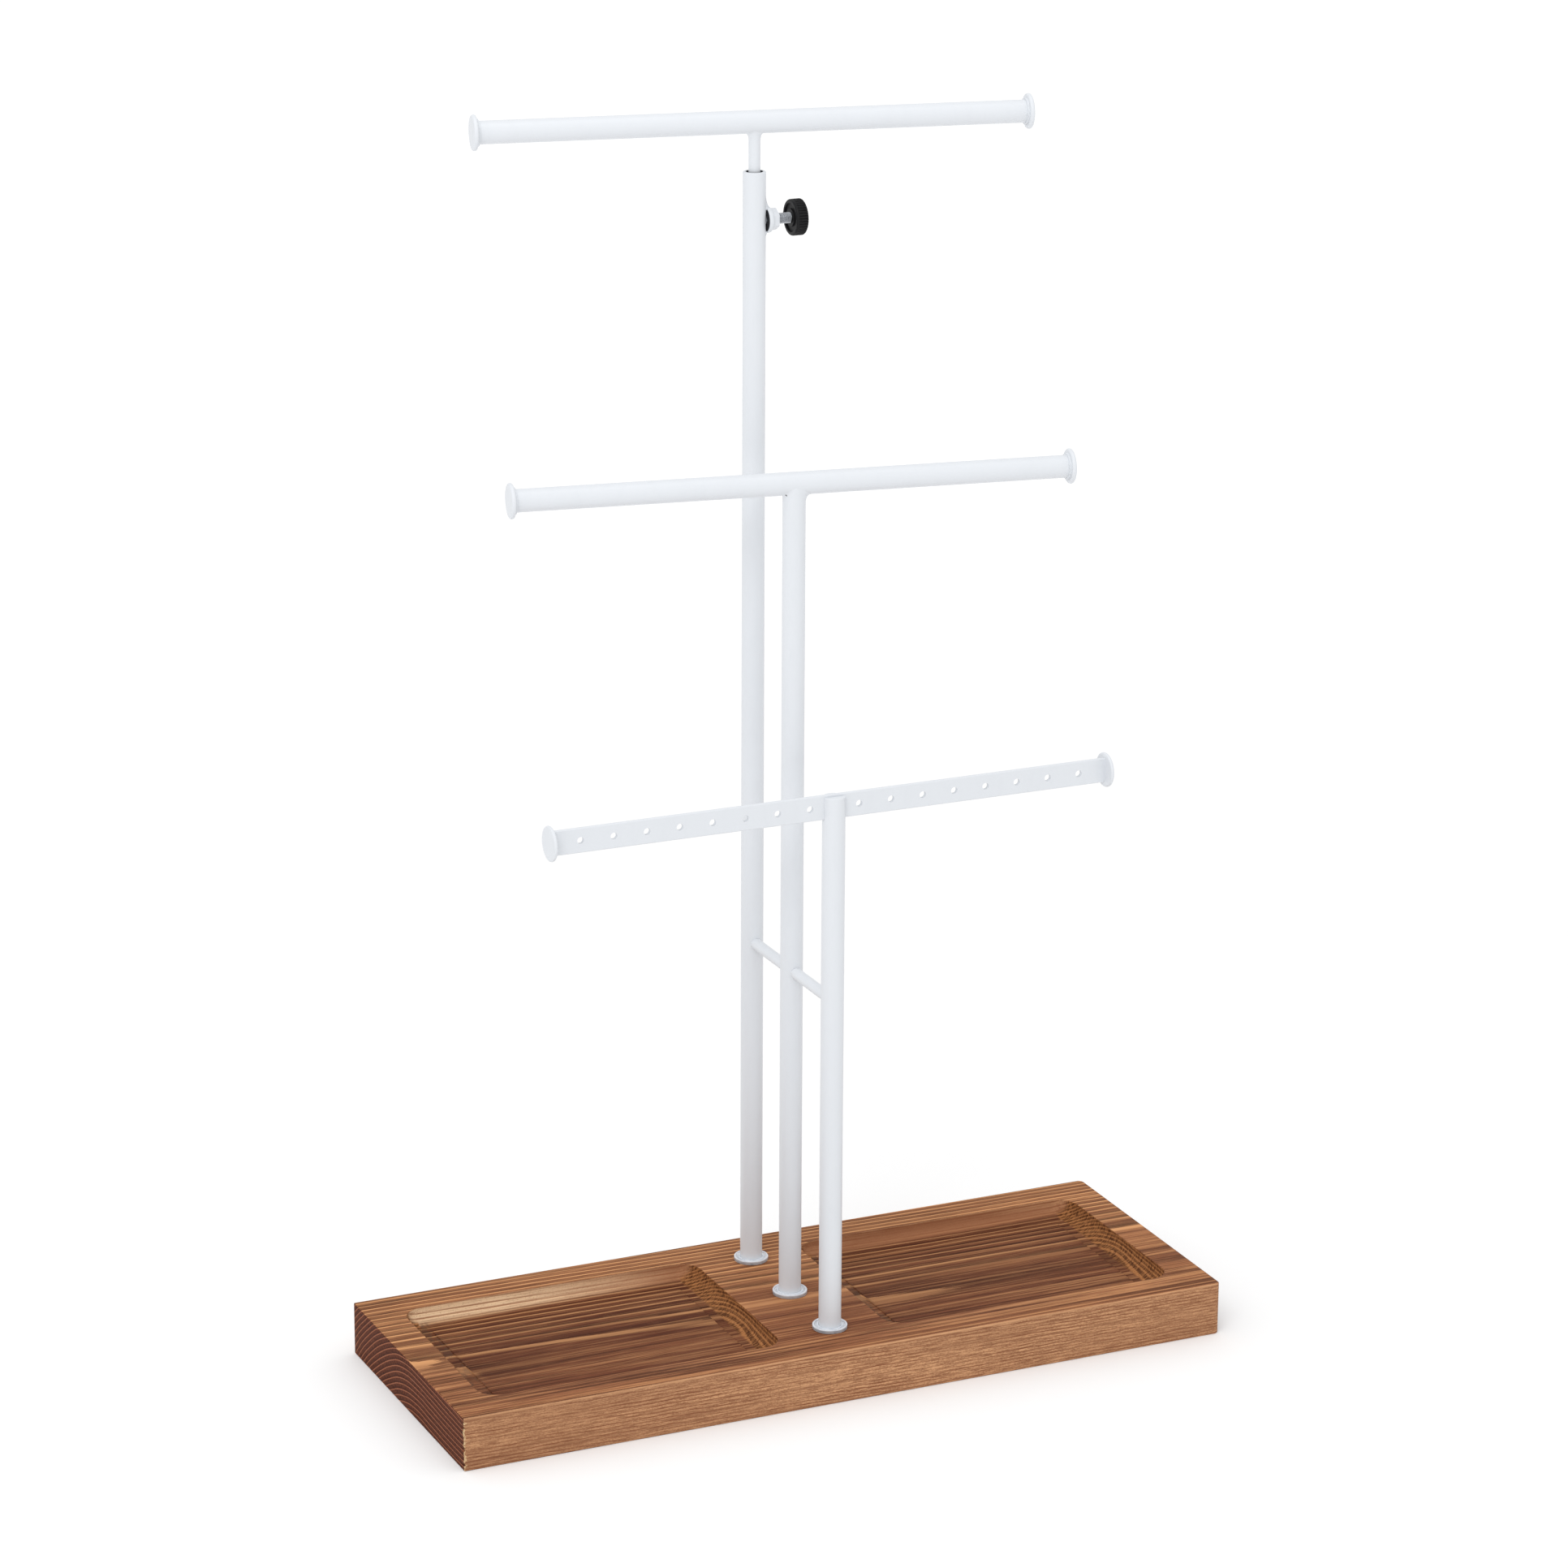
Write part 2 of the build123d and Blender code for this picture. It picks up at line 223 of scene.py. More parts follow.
def loop(low, high, radius, z):
    """A rounded rectangle: the point of its corner centres' box that the weights choose,
    plus the radius along the normal."""
    low, high = np.asarray(low, float), np.asarray(high, float)
    radius = np.broadcast_to(radius, len(LOOP_CENTRE))[:, None]
    inner = low + radius + (LOOP_CENTRE + 1) / 2 * (high - low - 2 * radius)
    flat = inner + LOOP_NORMAL * radius
    return np.column_stack([flat, np.full(len(flat), z)])


def half_outline(side, inset, z):
    """The outline of one half of the board beyond the land, square where it meets the land."""
    half = BOARD_HALF - inset
    outer_round = max((RIGHT_ROUND if side > 0 else LEFT_ROUND) - inset, 0)
    share = (1 + side * LOOP_CENTRE[:, 0]) / 2
    low = (LAND_HALF, -half[1]) if side > 0 else (-half[0], -half[1])
    high = (half[0], half[1]) if side > 0 else (-LAND_HALF, half[1])
    return loop(low, high, outer_round * share, z)


def tray_profile():
    """Inset from the rim, height and corner radius of each row, from the rim down the cove's
    quarter circle, over the track's step and in to the middle line of the floor."""
    turn = np.radians(np.linspace(0, 90, 15))
    panel = TRAY_FLOOR + PANEL_RISE
    rim_inset, rim_drop = [-0.35, -0.14, -0.03, 0.0], np.array([0.0, 0.03, 0.13, 0.3])
    step_inset = [7.4, 8.8, PANEL_INSET - 0.07, PANEL_INSET + 0.07]
    step_height = [TRAY_FLOOR, TRAY_FLOOR, TRAY_FLOOR + 0.06, panel - 0.06]
    panel_inset = [9.2, 12.0, 18.0, 27.0, 36.0]
    inset = np.concatenate([rim_inset, COVE - COVE * np.cos(turn), step_inset, panel_inset])
    height = np.concatenate(
        [BOARD_TOP - rim_drop, TRAY_FLOOR + COVE - COVE * np.sin(turn), step_height, [panel] * 5]
    )
    radius = np.clip(TRAY_CORNER - inset, PANEL_CORNER, None)
    return inset, height, radius


def tray_patch(side):
    """One half of the top face with its tray, as rows from the outline to the floor's middle."""
    low_x, high_x = (TRAY_X[0], TRAY_X[1]) if side > 0 else (-TRAY_X[1], -TRAY_X[0])
    rows = [half_outline(side, TOP_EDGE, BOARD_TOP)]
    for inset, height, radius in zip(*tray_profile()):
        low, high = (low_x + inset, inset - TRAY_Y), (high_x - inset, TRAY_Y - inset)
        rows.append(loop(low, high, radius, height))
    low, high = (low_x + TRAY_Y, 0.0), (high_x - TRAY_Y, 0.0)
    rows.append(loop(low, high, 0.0, TRAY_FLOOR + PANEL_RISE))
    return patch(np.stack(rows), wrap_columns=True)


def underside_patch(side):
    """One half of the underside, as rows from the outline to its middle line."""
    centre = side * (BOARD_HALF[0] + LAND_HALF) / 2
    rows = [half_outline(side, LOW_EDGE, 0.0)]
    for inset in (10.0, 30.0):
        half_x, half_y = BOARD_HALF[0] / 2 - inset, BOARD_HALF[1] - inset
        rows.append(loop((centre - half_x, -half_y), (centre + half_x, half_y), 1.0, 0.0))
    rows.append(loop((centre - 30.0, 0.0), (centre + 30.0, 0.0), 0.0, 0.0))
    return patch(np.stack(rows), wrap_columns=True)


EDGE_ROWS = rounded(
    [(2 * TOP_EDGE, BOARD_TOP), (0.0, BOARD_TOP), (0.0, 0.0), (2 * LOW_EDGE, 0.0)],
    (TOP_EDGE, LOW_EDGE),
)
WALL_STEPS = 41
LAND_STEPS = 16


def side_rows():
    """Inset and height of the side walls' rows, with even rows down the flat of the wall."""
    upper, lower = np.split(EDGE_ROWS[1:-1], 2)
    flat = np.linspace(upper[-1, 1], lower[0, 1], WALL_STEPS + 1)[1:-1]
    walls = np.column_stack([np.zeros_like(flat), flat])
    return np.vstack([upper, walls, lower])


def wall_patches():
    """The side walls: one open strip round each half, and one across the land at the front
    and at the back."""
    rows, patches = side_rows(), []
    for side in (-1, 1):
        by_land = LOOP_CENTRE[:, 0] == -side
        inner = by_land & (np.abs(LOOP_CENTRE[:, 1]) < 1)
        bend = by_land & (np.abs(LOOP_NORMAL).min(1) > 0)
        keep = np.where(~(inner | bend | (LOOP_NORMAL[:, 0] == -side)))[0]
        jumps = np.diff(keep)
        keep = np.roll(keep, -(np.argmax(jumps) + 1)) if jumps.max() > 1 else keep
        strip = np.stack([half_outline(side, inset, z)[keep] for inset, z in rows])
        patches.append(patch(strip))
    x = np.linspace(-LAND_HALF, LAND_HALF, LAND_STEPS + 1)
    inset, z = rows[:, :1], rows[:, 1:]
    for side in (-1, 1):
        strip = np.broadcast_arrays(x, side * (BOARD_HALF[1] - inset), z)
        patches.append(patch(np.stack(strip, -1)))
    return patches


def land_cells():
    """The land between the trays, in three cells. Each runs from its outline on top to a
    screw hole, down the hole to the counterbore and out to its outline underneath."""
    across = LOOP_CENTRE[(LOOP_CENTRE[:, 0] == 1) & (LOOP_NORMAL[:, 0] == 1), 1]
    x = np.linspace(-LAND_HALF, LAND_HALF, LAND_STEPS + 1)
    patches = []
    for name, (low, high) in {"front": (0, 22), "mid": (22, 42), "rear": (42, 64)}.items():
        centre, weights = POLE_Y[name], across[low : high + 1]
        ends, far, near = np.full(len(weights), LAND_HALF), [weights[-1]], [weights[0]]
        flat_x = np.concatenate([ends, x[::-1][1:], -ends[1:], x[1:-1]])
        flat_w = np.concatenate(
            [weights, far * LAND_STEPS, weights[::-1][1:], near * (LAND_STEPS - 1)]
        )
        top_y, low_y = flat_w * (BOARD_HALF[1] - TOP_EDGE), flat_w * (BOARD_HALF[1] - LOW_EDGE)
        top = np.column_stack([flat_x, top_y, np.full_like(flat_x, BOARD_TOP)])
        under = np.column_stack([flat_x, low_y, 0 * flat_x])
        angle = np.arctan2(top[:, 1] - centre, top[:, 0])
        depth = COUNTERBORE["depth"]
        rings = [
            (HOLE_R + 0.2, BOARD_TOP),
            (HOLE_R, BOARD_TOP - 0.2),
            (HOLE_R, depth),
            (COUNTERBORE["r"], depth),
            (COUNTERBORE["r"], 0.3),
            (COUNTERBORE["r"] + 0.3, 0.0),
        ]
        rows = [top]
        rows += [
            np.column_stack([r * np.cos(angle), centre + r * np.sin(angle), np.full_like(angle, z)])
            for r, z in rings
        ]
        patches.append(patch(np.stack(rows + [under]), wrap_columns=True))
    return patches


CHIP_REACH = 1.6


def chip_corner(piece, depth):
    """Tears chips out of the front left corner: points near the edge move inwards by the
    depth times a sum of sines of their height, where that sum is over a threshold."""
    mesh = piece.data
    flat = np.empty(len(mesh.vertices) * 3)
    mesh.vertices.foreach_get("co", flat)
    points = flat.reshape(-1, 3)
    from_edge = np.hypot(points[:, 0] + BOARD_HALF[0] * MM, points[:, 1] + BOARD_HALF[1] * MM)
    near = np.clip(1 - from_edge / (CHIP_REACH * MM), 0, 1)
    z = points[:, 2] / MM
    waves = np.sin(0.83 * z + 0.7) + 0.9 * np.sin(2.3 * z + 2.1) + 0.8 * np.sin(5.9 * z)
    torn = np.clip(waves - 0.5, 0, 1.4) * near * (z < BOARD_TOP - 0.5) * (z > 0.8)
    points[:, 0] += depth * torn
    points[:, 1] += 0.7 * depth * torn
    mesh.vertices.foreach_set("co", points.ravel())
    mesh.update()


# ---- welded stems, clamp and feet -----------------------------------------------------------

def lumps(angle, strength, phase):
    """An even weld's small swellings: one plus a few sines of the angle."""
    waves = 0.5 * np.sin(3 * angle + phase) + 0.3 * np.sin(7 * angle + 2 * phase)
    return 1 + strength * (waves + 0.2 * np.sin(17 * angle + 3 * phase))


def welded_stem(foot, radius, inner_radius, bar_z, spread, drop, phase, segments=120):
    """A stem under a round bar, with its angles counted from the bar. Its own profile rises
    to the weld, whose concave face is the parabola from the stem to the bar with its middle
    point where the two cylinders meet, at bar_z - sqrt(R^2 - (r sin a)^2). The weld's spread
    and drop go from their first number on the left to their second on the right."""
    angle = ring_angles(segments)
    cosine, sine = np.cos(angle), np.sin(angle)
    share = ((1 + cosine) / 2) ** 1.5
    spread = spread[0] + (spread[1] - spread[0]) * share
    drop = drop[0] + (drop[1] - drop[0]) * share

    def saddle(y):
        return bar_z - np.sqrt(np.clip(BAR_R**2 - y**2, 0, None))

    corner = np.column_stack([radius * cosine, radius * sine, saddle(radius * sine)])
    low = corner - [0, 0, 1] * (drop * lumps(angle, 0.16, phase))[:, None]
    wide = radius + spread * lumps(angle, 0.2, phase + 1)
    high_y = np.clip(wide * sine, -BAR_R * 0.96, BAR_R * 0.96)
    high = np.column_stack([wide * cosine, high_y, saddle(high_y) + 0.06])
    t = np.linspace(0, 1, 14)[:, None, None]
    weld = (1 - t) ** 2 * low + 2 * t * (1 - t) * corner + t**2 * high
    inner_y = inner_radius * sine
    inner = np.column_stack([inner_radius * cosine, inner_y, saddle(inner_y) + 0.04])
    return np.concatenate([lathe(foot, segments), weld, inner[None]])


def nut_profile():
    """Radius, height and how far each row is hexagonal, from the bore's inner end over the
    flange and the hexagon to the bore's outer end."""
    flange, flange_top, top = NUT["flange_r"], NUT["flange"], NUT["height"]
    hexagon = NUT["flats"] / 2
    return np.array(
        [
            (NUT["bore_r"], 0.0, 0), (flange - 0.25, 0.0, 0), (flange - 0.06, 0.07, 0),
            (flange, 0.25, 0), (flange, flange_top - 0.3, 0),
            (flange - 0.1, flange_top - 0.08, 0), (flange - 0.35, flange_top, 0),
            (hexagon + 0.12, flange_top, 1), (hexagon, flange_top + 0.12, 1),
            (hexagon, top - 0.35, 1), (hexagon - 0.05, top - 0.12, 1), (hexagon - 0.3, top, 0.6),
            (NUT["bore_r"] + 0.15, top, 0), (NUT["bore_r"], top - 0.2, 0),
        ]
    )


def nut_surface(segments=144):
    """The flange nut: r(a) = r / cos(a folded into one sixth) where the row is hexagonal."""
    rows = nut_profile()
    angle = ring_angles(segments)
    folded = (angle + np.pi / 6) % (np.pi / 3) - np.pi / 6
    hexagon = np.minimum(1 / np.cos(folded), 1.125)
    radius = rows[:, :1] * (1 + rows[:, 2:] * (hexagon - 1))
    return turned(radius, rows[:, 1:2], segments)


def weld_ramp(rise, half_width, thick, direction):
    """A weld bead on the pole's side: x = pole(y) + thick s^1.8 sqrt(1 - v^2), from nothing
    on the pole at s = 0 to the whole thickness at the flange's rim at s = 1."""
    s, v = np.linspace(0, 1, 24)[:, None], np.linspace(-1, 1, 21)[None, :]
    ease = s**1.8
    width = half_width * (0.35 + 0.65 * s**0.6)
    y = v * width
    on_pole = np.sqrt(POLE_R**2 - y**2)
    ripple = 1 + 0.05 * np.sin(26 * s + 1.5 * v) * s
    out = thick * ease * ripple * np.sqrt(np.clip(1 - v**2, 0, None))
    rim = NUT["flange_r"] - 0.9
    z = CLAMP_Z + direction * (rim + (rise + 0.9) * (1 - s) + 0 * v)
    front = np.stack([on_pole + out, y, z], -1)
    back = np.stack([on_pole - 0.35 + 0 * out, y, z], -1)
    closed = np.concatenate([front, back[:, ::-1]], 1)
    ends = [closed[:1].copy(), closed[-1:].copy()]
    for end in ends:
        end[...] = end.mean(1, keepdims=True)
    return np.concatenate([ends[0], closed, ends[1]])


def thread_surface(length, pitch, segments=64):
    """A right-hand thread along Z: r = root + depth tri(z / pitch - a / 2 pi), where tri
    goes up and down once in each pitch, and both ends taper off."""
    z = np.arange(0, length, pitch / 14)[:, None]
    angle = ring_angles(segments)
    cycle = (z / pitch - angle / (2 * np.pi)) % 1
    ridge = np.clip(1.35 * (1 - np.abs(2 * cycle - 1)) - 0.12, 0, 1)
    root = SCREW["r"] - SCREW["depth"]
    end = np.minimum(z, length - z)
    radius = np.minimum(root + SCREW["depth"] * ridge, root - 0.25 + end)
    body = turned(radius, z, segments)
    caps = [body[:1] * [0, 0, 1], body[-1:] * [0, 0, 1]]
    return np.concatenate([caps[0], body, caps[1]])


def knob_surface(ribs, rib_depth):
    """The knurled knob: rows of a turned profile whose rim is r - depth (1 - |cos(n a / 2)|),
    faded out towards both faces."""
    r, thick, recess = KNOB["r"], KNOB["thick"], KNOB["recess"]
    hub, ring = KNOB["hub_r"], KNOB["ring_r"]
    corners = [
        (0.0, 0.0), (hub, 0.0), (hub, recess), (ring, recess), (ring, 0.0), (r, 0.0), (r, thick),
        (r * 0.72, thick), (r * 0.66, thick - 0.25), (0.0, thick - 0.25),
    ]
    profile = rounded(corners, (0.2, 0.15, 0.15, 0.25, 0.9, 0.6, 0.2, 0.2), 8)
    segments = ribs * 10
    knurl = rib_depth * (1 - np.abs(np.cos(ribs * ring_angles(segments) / 2)))
    weight = np.clip((profile[:, :1] - (r - 0.4)) / 0.3, 0, 1)
    weight = weight * np.clip((profile[:, 1:2] - 0.7) / 0.3, 0, 1)
    return turned(profile[:, :1] - weight * knurl, profile[:, 1:], segments)


def cup_profile():
    """The cup washer's closed section: floor, raised lip, shallow groove and seat ring. The
    groove is 0.3 mm shallower than the solid's."""
    r, bore, floor, top = CUP["r"], CUP["bore_r"], CUP["floor"], CUP["height"]
    seat, groove = CUP["seat_r"], top - 0.4
    corners = [
        (bore, floor), (bore, 0.0), (r, 0.0), (r, top), (r - 0.7, top), (r - 0.78, groove),
        (seat + 0.78, groove), (seat + 0.7, top - 0.1), (seat, top - 0.1), (seat, floor),
        (bore, floor),
    ]
    return rounded(corners, (0.1, 0.35, 0.32, 0.3, 0.15, 0.15, 0.2, 0.2, 0.05), 4)[:-1]


# ---- shader maths ---------------------------------------------------------------------------

class Field:
    """A shader socket that Python's operators work on. Each operator adds its Math node."""

    def __init__(self, finish, socket):
        self.finish, self.socket = finish, socket

    def math(self, operation, *others):
        values = dict(enumerate((self, *others)))
        return self.finish.node("ShaderNodeMath", {"operation": operation}, values)

    def __add__(self, other):
        return self.math("ADD", other)

    def __sub__(self, other):
        return self.math("SUBTRACT", other)

    def __mul__(self, other):
        return self.math("MULTIPLY", other)

    def __truediv__(self, other):
        return self.math("DIVIDE", other)

    def __pow__(self, other):
        return self.math("POWER", other)

    __radd__, __rmul__ = __add__, __mul__

    def __rsub__(self, other):
        return self.finish.node(
            "ShaderNodeMath", {"operation": "SUBTRACT"}, {0: other, 1: self}
        )

    def abs(self):
        return self.math("ABSOLUTE")

    def fraction(self):
        return self.math("FRACT")

    def hypot(self, other):
        return (self * self + other * other) ** 0.5


class Finish:
    """A material in the making. Every node comes from node()."""

    def __init__(self, name, colour):
        self.material = bpy.data.materials.new(name)
        self.material.use_nodes = True
        self.material.diffuse_color = (*colour, 1.0)
        self.tree = self.material.node_tree
        self.tree.nodes.clear()
        place = self.node("ShaderNodeTexCoord", output="Object")
        self.place = self.vector("SCALE", place, Scale=1 / MM)

    def node(self, kind, settings=None, sockets=None, output=0):
        """Adds a node: its settings first, then a value or a link for each named socket."""
        node = self.tree.nodes.new(kind)
        for key, value in (settings or {}).items():
            setattr(node, key, value)
        for key, value in (sockets or {}).items():
            if isinstance(value, Field):
                self.tree.links.new(value.socket, node.inputs[key])
            else:
                node.inputs[key].default_value = value
        return Field(self, node.outputs[output])

    def vector(self, operation, first, second=None, output=0, **sockets):
        values = {0: first, **sockets}
        if second is not None:
            values[1] = second
        return self.node("ShaderNodeVectorMath", {"operation": operation}, values, output)

    def parts(self, vector):
        """The X, Y and Z of a vector."""
        return [
            self.node("ShaderNodeSeparateXYZ", None, {0: vector}, axis) for axis in range(3)
        ]

    def noise(self, stretch, detail, roughness, offset=(0, 0, 0)):
        """Noise over the piece, with a number of cells per millimetre along each axis."""
        where = self.vector("MULTIPLY", self.place, stretch)
        where = self.vector("ADD", where, offset)
        return self.node(
            "ShaderNodeTexNoise",
            {"noise_dimensions": "3D", "normalize": True},
            {"Vector": where, "Scale": 1.0, "Detail": detail, "Roughness": roughness},
        )

    def step(self, value, low, high):
        """Rises smoothly from 0 at low to 1 at high."""
        return self.node(
            "ShaderNodeMapRange",
            {"interpolation_type": "SMOOTHSTEP"},
            {"Value": value, "From Min": low, "From Max": high},
        )

    def ridge(self, value, start, full, fall, end):
        """Rises smoothly from 0 at start to 1 at full, and falls from fall to 0 at end."""
        return self.step(value, start, full) * (1.0 - self.step(value, fall, end))

    def mix(self, factor, first, second):
        """Mixes two colours."""
        return self.node(
            "ShaderNodeMix",
            {"data_type": "RGBA", "clamp_factor": True},
            {0: factor, 6: colour4(first), 7: colour4(second)},
            2,
        )

    def layers(self, colour, *rows):
        """Lays colours over one another. Each row is a field, the values where its colour
        starts to show and shows in full, the most that it covers, and the colour."""
        for field, start, full, cover, over in rows:
            colour = self.mix(self.step(field, start, full) * cover, colour, over)
        return colour

    def bump(self, height, distance, strength):
        """A Bump node of a height, whose distance is in millimetres."""
        sockets = {"Height": height, "Distance": distance * MM, "Strength": strength}
        return self.node("ShaderNodeBump", None, sockets)

    def surface(self, colour, roughness, normal=None, metallic=0.0, **fixed):
        """The Principled shader, whose fixed sockets are set on the node itself."""
        sockets = {"Base Color": colour4(colour), "Roughness": roughness, "Metallic": metallic}
        if normal is not None:
            sockets["Normal"] = normal
        sockets.update({key.replace("_", " "): value for key, value in fixed.items()})
        shader = self.node("ShaderNodeBsdfPrincipled", None, sockets)
        self.node_output(shader)
        return self.material

    def node_output(self, shader):
        end = self.tree.nodes.new("ShaderNodeOutputMaterial")
        self.tree.links.new(shader.socket, end.inputs["Surface"])


def colour4(colour):
    """A colour with its alpha, or a field as it is."""
    return colour if isinstance(colour, Field) or len(colour) == 4 else (*colour, 1.0)


# ---- finishes -------------------------------------------------------------------------------

def wood_masks(f):
    """The place on the board, and from 0 to 1 how far it is on each kind of face: milled in a
    tray, on a tray's floor, on its torn end walls, on the left track round its panel, on the
    sawn ends and on the long sides."""
    x, y, z = f.parts(f.place)
    nx, ny = [part.abs() for part in f.parts(f.node("ShaderNodeTexCoord", output="Normal"))[:2]]
    across, (low_x, high_x) = x.abs(), TRAY_X
    in_tray = f.step(across, high_x + 1.5, high_x + 0.5)
    in_tray = in_tray * f.step(y.abs(), TRAY_Y + 1.5, TRAY_Y + 0.5)
    milled = in_tray * f.step(z, BOARD_TOP - 0.05, BOARD_TOP - 0.5)
    floor = milled * f.step(z, TRAY_FLOOR + 1.7, TRAY_FLOOR + 0.7)
    cove = f.step(across, low_x + COVE + 0.4, low_x + COVE - 0.4)
    cove = cove + f.step(across, high_x - COVE - 0.4, high_x - COVE + 0.4)
    left = f.step(x, 10.0 - high_x, 9.0 - high_x)
    left = left + f.step(x, low_x + 10.0, low_x + 9.0) * f.step(x, 0.0, 1.0)
    return SimpleNamespace(
        x=x, y=y, z=z, milled=milled, floor=floor,
        torn=milled * cove * f.step(nx, 0.05, 0.25) * f.step(ny, 0.8, 0.5),
        left_track=floor * left * f.step(nx, 0.5, 0.2),
        end=(1.0 - in_tray) * f.step(nx, 0.82, 0.98),
        side=f.step(ny, 0.3, 0.85),
    )


def wood_grain(f, wood, at):
    """The grain's fields. Growth rings are arches about a far pith: the ring count is
    sqrt(q^2 + (z + 55)^2) / width, where q = (b + sqrt(b^2 + 12^2)) / 2 and b = y + 8, so q
    rises from nothing at the front to b at the back. Each ring starts dark, eases to brown,
    ends in a pale line and drops sharply to dark. Where q is small the rings aren't clear."""
    drift = f.noise((0.0030, 0.012, 0.012), 1.0, 0.4)
    waver = f.noise((0.009, 0.05, 0.05), 1.0, 0.4, (7, 3, 1))
    fibre = f.noise((0.018, 1.1, 1.1), 4.0, 0.7)
    back = at.y + ARCH_FRONT
    q = (back + (back * back + ARCH_ROUND**2) ** 0.5) * 0.5
    reach = q.hypot(at.z + PITH_BELOW)
    wander = drift * 8.0 + waver * 1.2 + fibre * 0.35
    rings = (reach + wander + at.x * 0.008) / wood.ring_width_mm
    cycle = rings.fraction()
    vary = f.noise((0.006, 0.22, 0.22), 2.0, 0.5, (1, 8, 3))
    return SimpleNamespace(
        q=q, rings=rings, cycle=cycle, vary=vary, fibre=fibre,
        clear=f.step(q, 1.8, 8.0),
        dark=1.0 - f.step(cycle, 0.05, 0.50),
        pale=f.step(cycle, 0.70, 0.86) * (0.40 + 0.60 * f.step(vary, 0.32, 0.58)),
        seen=f.step(f.noise((0.02, 0.16, 0.16), 3.0, 0.6, (9, 2, 6)), 0.40, 0.58),
        tone=f.noise((0.007, 0.07, 0.07), 3.0, 0.55, (2, 9, 4)),
        strips=f.noise((0.005, 0.40, 0.40), 3.0, 0.6, (9, 5, 1)),
        bands=f.noise((0.010, 0.80, 0.80), 4.0, 0.65, (5, 2, 7)),
        hairs=f.noise((0.09, 4.5, 4.5), 4.0, 0.65, (3, 1, 8)),
        grit=f.noise((1.5, 2.4, 2.4), 4.0, 0.7, (5, 5, 5)),
        ticks=f.noise((2.0, 2.6, 0.8), 4.0, 0.75, (6, 1, 2)),
        strokes=f.noise((0.45, 1.9, 0.45), 4.0, 0.75, (1, 2, 3)),
    )


def flat_faces(f, wood, at, grain):
    """The top, the underside and the tray floors, where the rings run along as pale lines.
    The left end of the back and the land between the trays took more stain."""
    dark, light, clear = wood.stain_dark, wood.stain_light, grain.clear
    colour = f.mix(f.step(grain.tone, 0.35, 0.65), wood.stain_mid, wood.stain_warm)
    ring = grain.dark * clear * (0.40 + 0.55 * f.step(grain.vary, 0.65, 0.35))
    colour = f.mix(ring, colour, dark)
    colour = f.layers(
        colour,
        (grain.bands, 0.49, 0.38, 0.50, dark),
        (at.z, BOARD_TOP - 0.5, BOARD_TOP - 0.1, 0.13 + 0.03 * clear, light),
        (at.x, -132.0, -142.0, clear * 0.22, dark),
        (grain.strips, 0.48, 0.43, (1.0 - clear * 0.7) * 0.60, dark),
        (grain.strips, 0.54, 0.58, (1.0 - clear * 0.6) * 0.42, light),
        (grain.bands, 0.54, 0.64, 0.30, light),
        (grain.fibre, 0.47, 0.38, 0.50, dark),
        (grain.fibre, 0.56, 0.66, 0.35, light),
        (grain.hairs, 0.47, 0.38, 0.45, dark),
        (grain.hairs, 0.56, 0.66, 0.25, light),
        (grain.q, 2.6, 8.5, grain.pale * 0.92, light),
    )
    between = f.step(at.x.abs(), LAND_HALF + 12.0, LAND_HALF + 4.0)
    between = between * f.step(at.y, 14.0, 2.0) * f.step(at.y, -44.0, -38.0)
    colour = f.mix(between * 0.30, colour, wood.stain_mid)
    return f.mix(at.floor * (0.28 + 0.08 * clear), colour, dark)


def long_faces(f, wood, at, grain):
    """The long sides and the coves beside them, golden with the rings as brown lines. The
    coves turn to cream towards the left."""
    dark, light, warm = wood.side_dark, wood.side_light, wood.stain_warm
    streak = f.noise((0.14, 3.2, 3.2), 4.0, 0.7, (8, 8, 2))
    sway = f.noise((0.06, 0.35, 0.35), 2.0, 0.6, (4, 4, 9))
    line = f.ridge((grain.rings * 1.5 + sway * 0.9).fraction(), 0.0, 0.12, 0.18, 0.42)
    side = f.mix(f.step(streak * 0.65 + grain.grit * 0.35, 0.38, 0.62), dark, light)
    side = f.layers(
        side, (grain.tone, 0.62, 0.38, 0.30, dark), (at.x, -60.0, -120.0, 0.22, dark)
    )
    side = f.mix(line * (0.24 + 0.58 * grain.seen), side, wood.stain_mid)
    side = f.layers(
        side, (grain.bands, 0.48, 0.38, 0.40, dark), (grain.hairs, 0.56, 0.68, 0.30, light)
    )

    line = f.ridge(grain.cycle, 0.0, 0.10, 0.16, 0.42)
    cove = f.mix(0.30 + f.step(grain.tone, 0.60, 0.40) * 0.50, light, warm)
    cove = f.layers(cove, (at.x, -20.0, -100.0, 1.0, wood.cove_line))
    cove = f.mix(line * (0.30 + 0.45 * grain.seen), cove, warm)
    cove = f.layers(
        cove, (grain.grit, 0.46, 0.36, 0.35, warm), (grain.bands, 0.49, 0.38, 0.40, warm),
        (grain.hairs, 0.48, 0.38, 0.35, warm),
    )
    return f.mix(at.milled * 0.95, side, cove)


def end_faces(f, wood, grain):
    """The sawn ends: dark, ticked with pores, and the rings as arcs."""
    arc = f.step(grain.cycle, 0.74, 0.90) * f.step(grain.ticks, 0.28, 0.48)
    colour = f.mix(f.step(grain.ticks, 0.40, 0.62), wood.end_dark, wood.stain_mid)
    colour = f.mix(grain.dark * 0.6, colour, wood.end_dark)
    return f.mix(arc * 0.85, colour, wood.end_line)


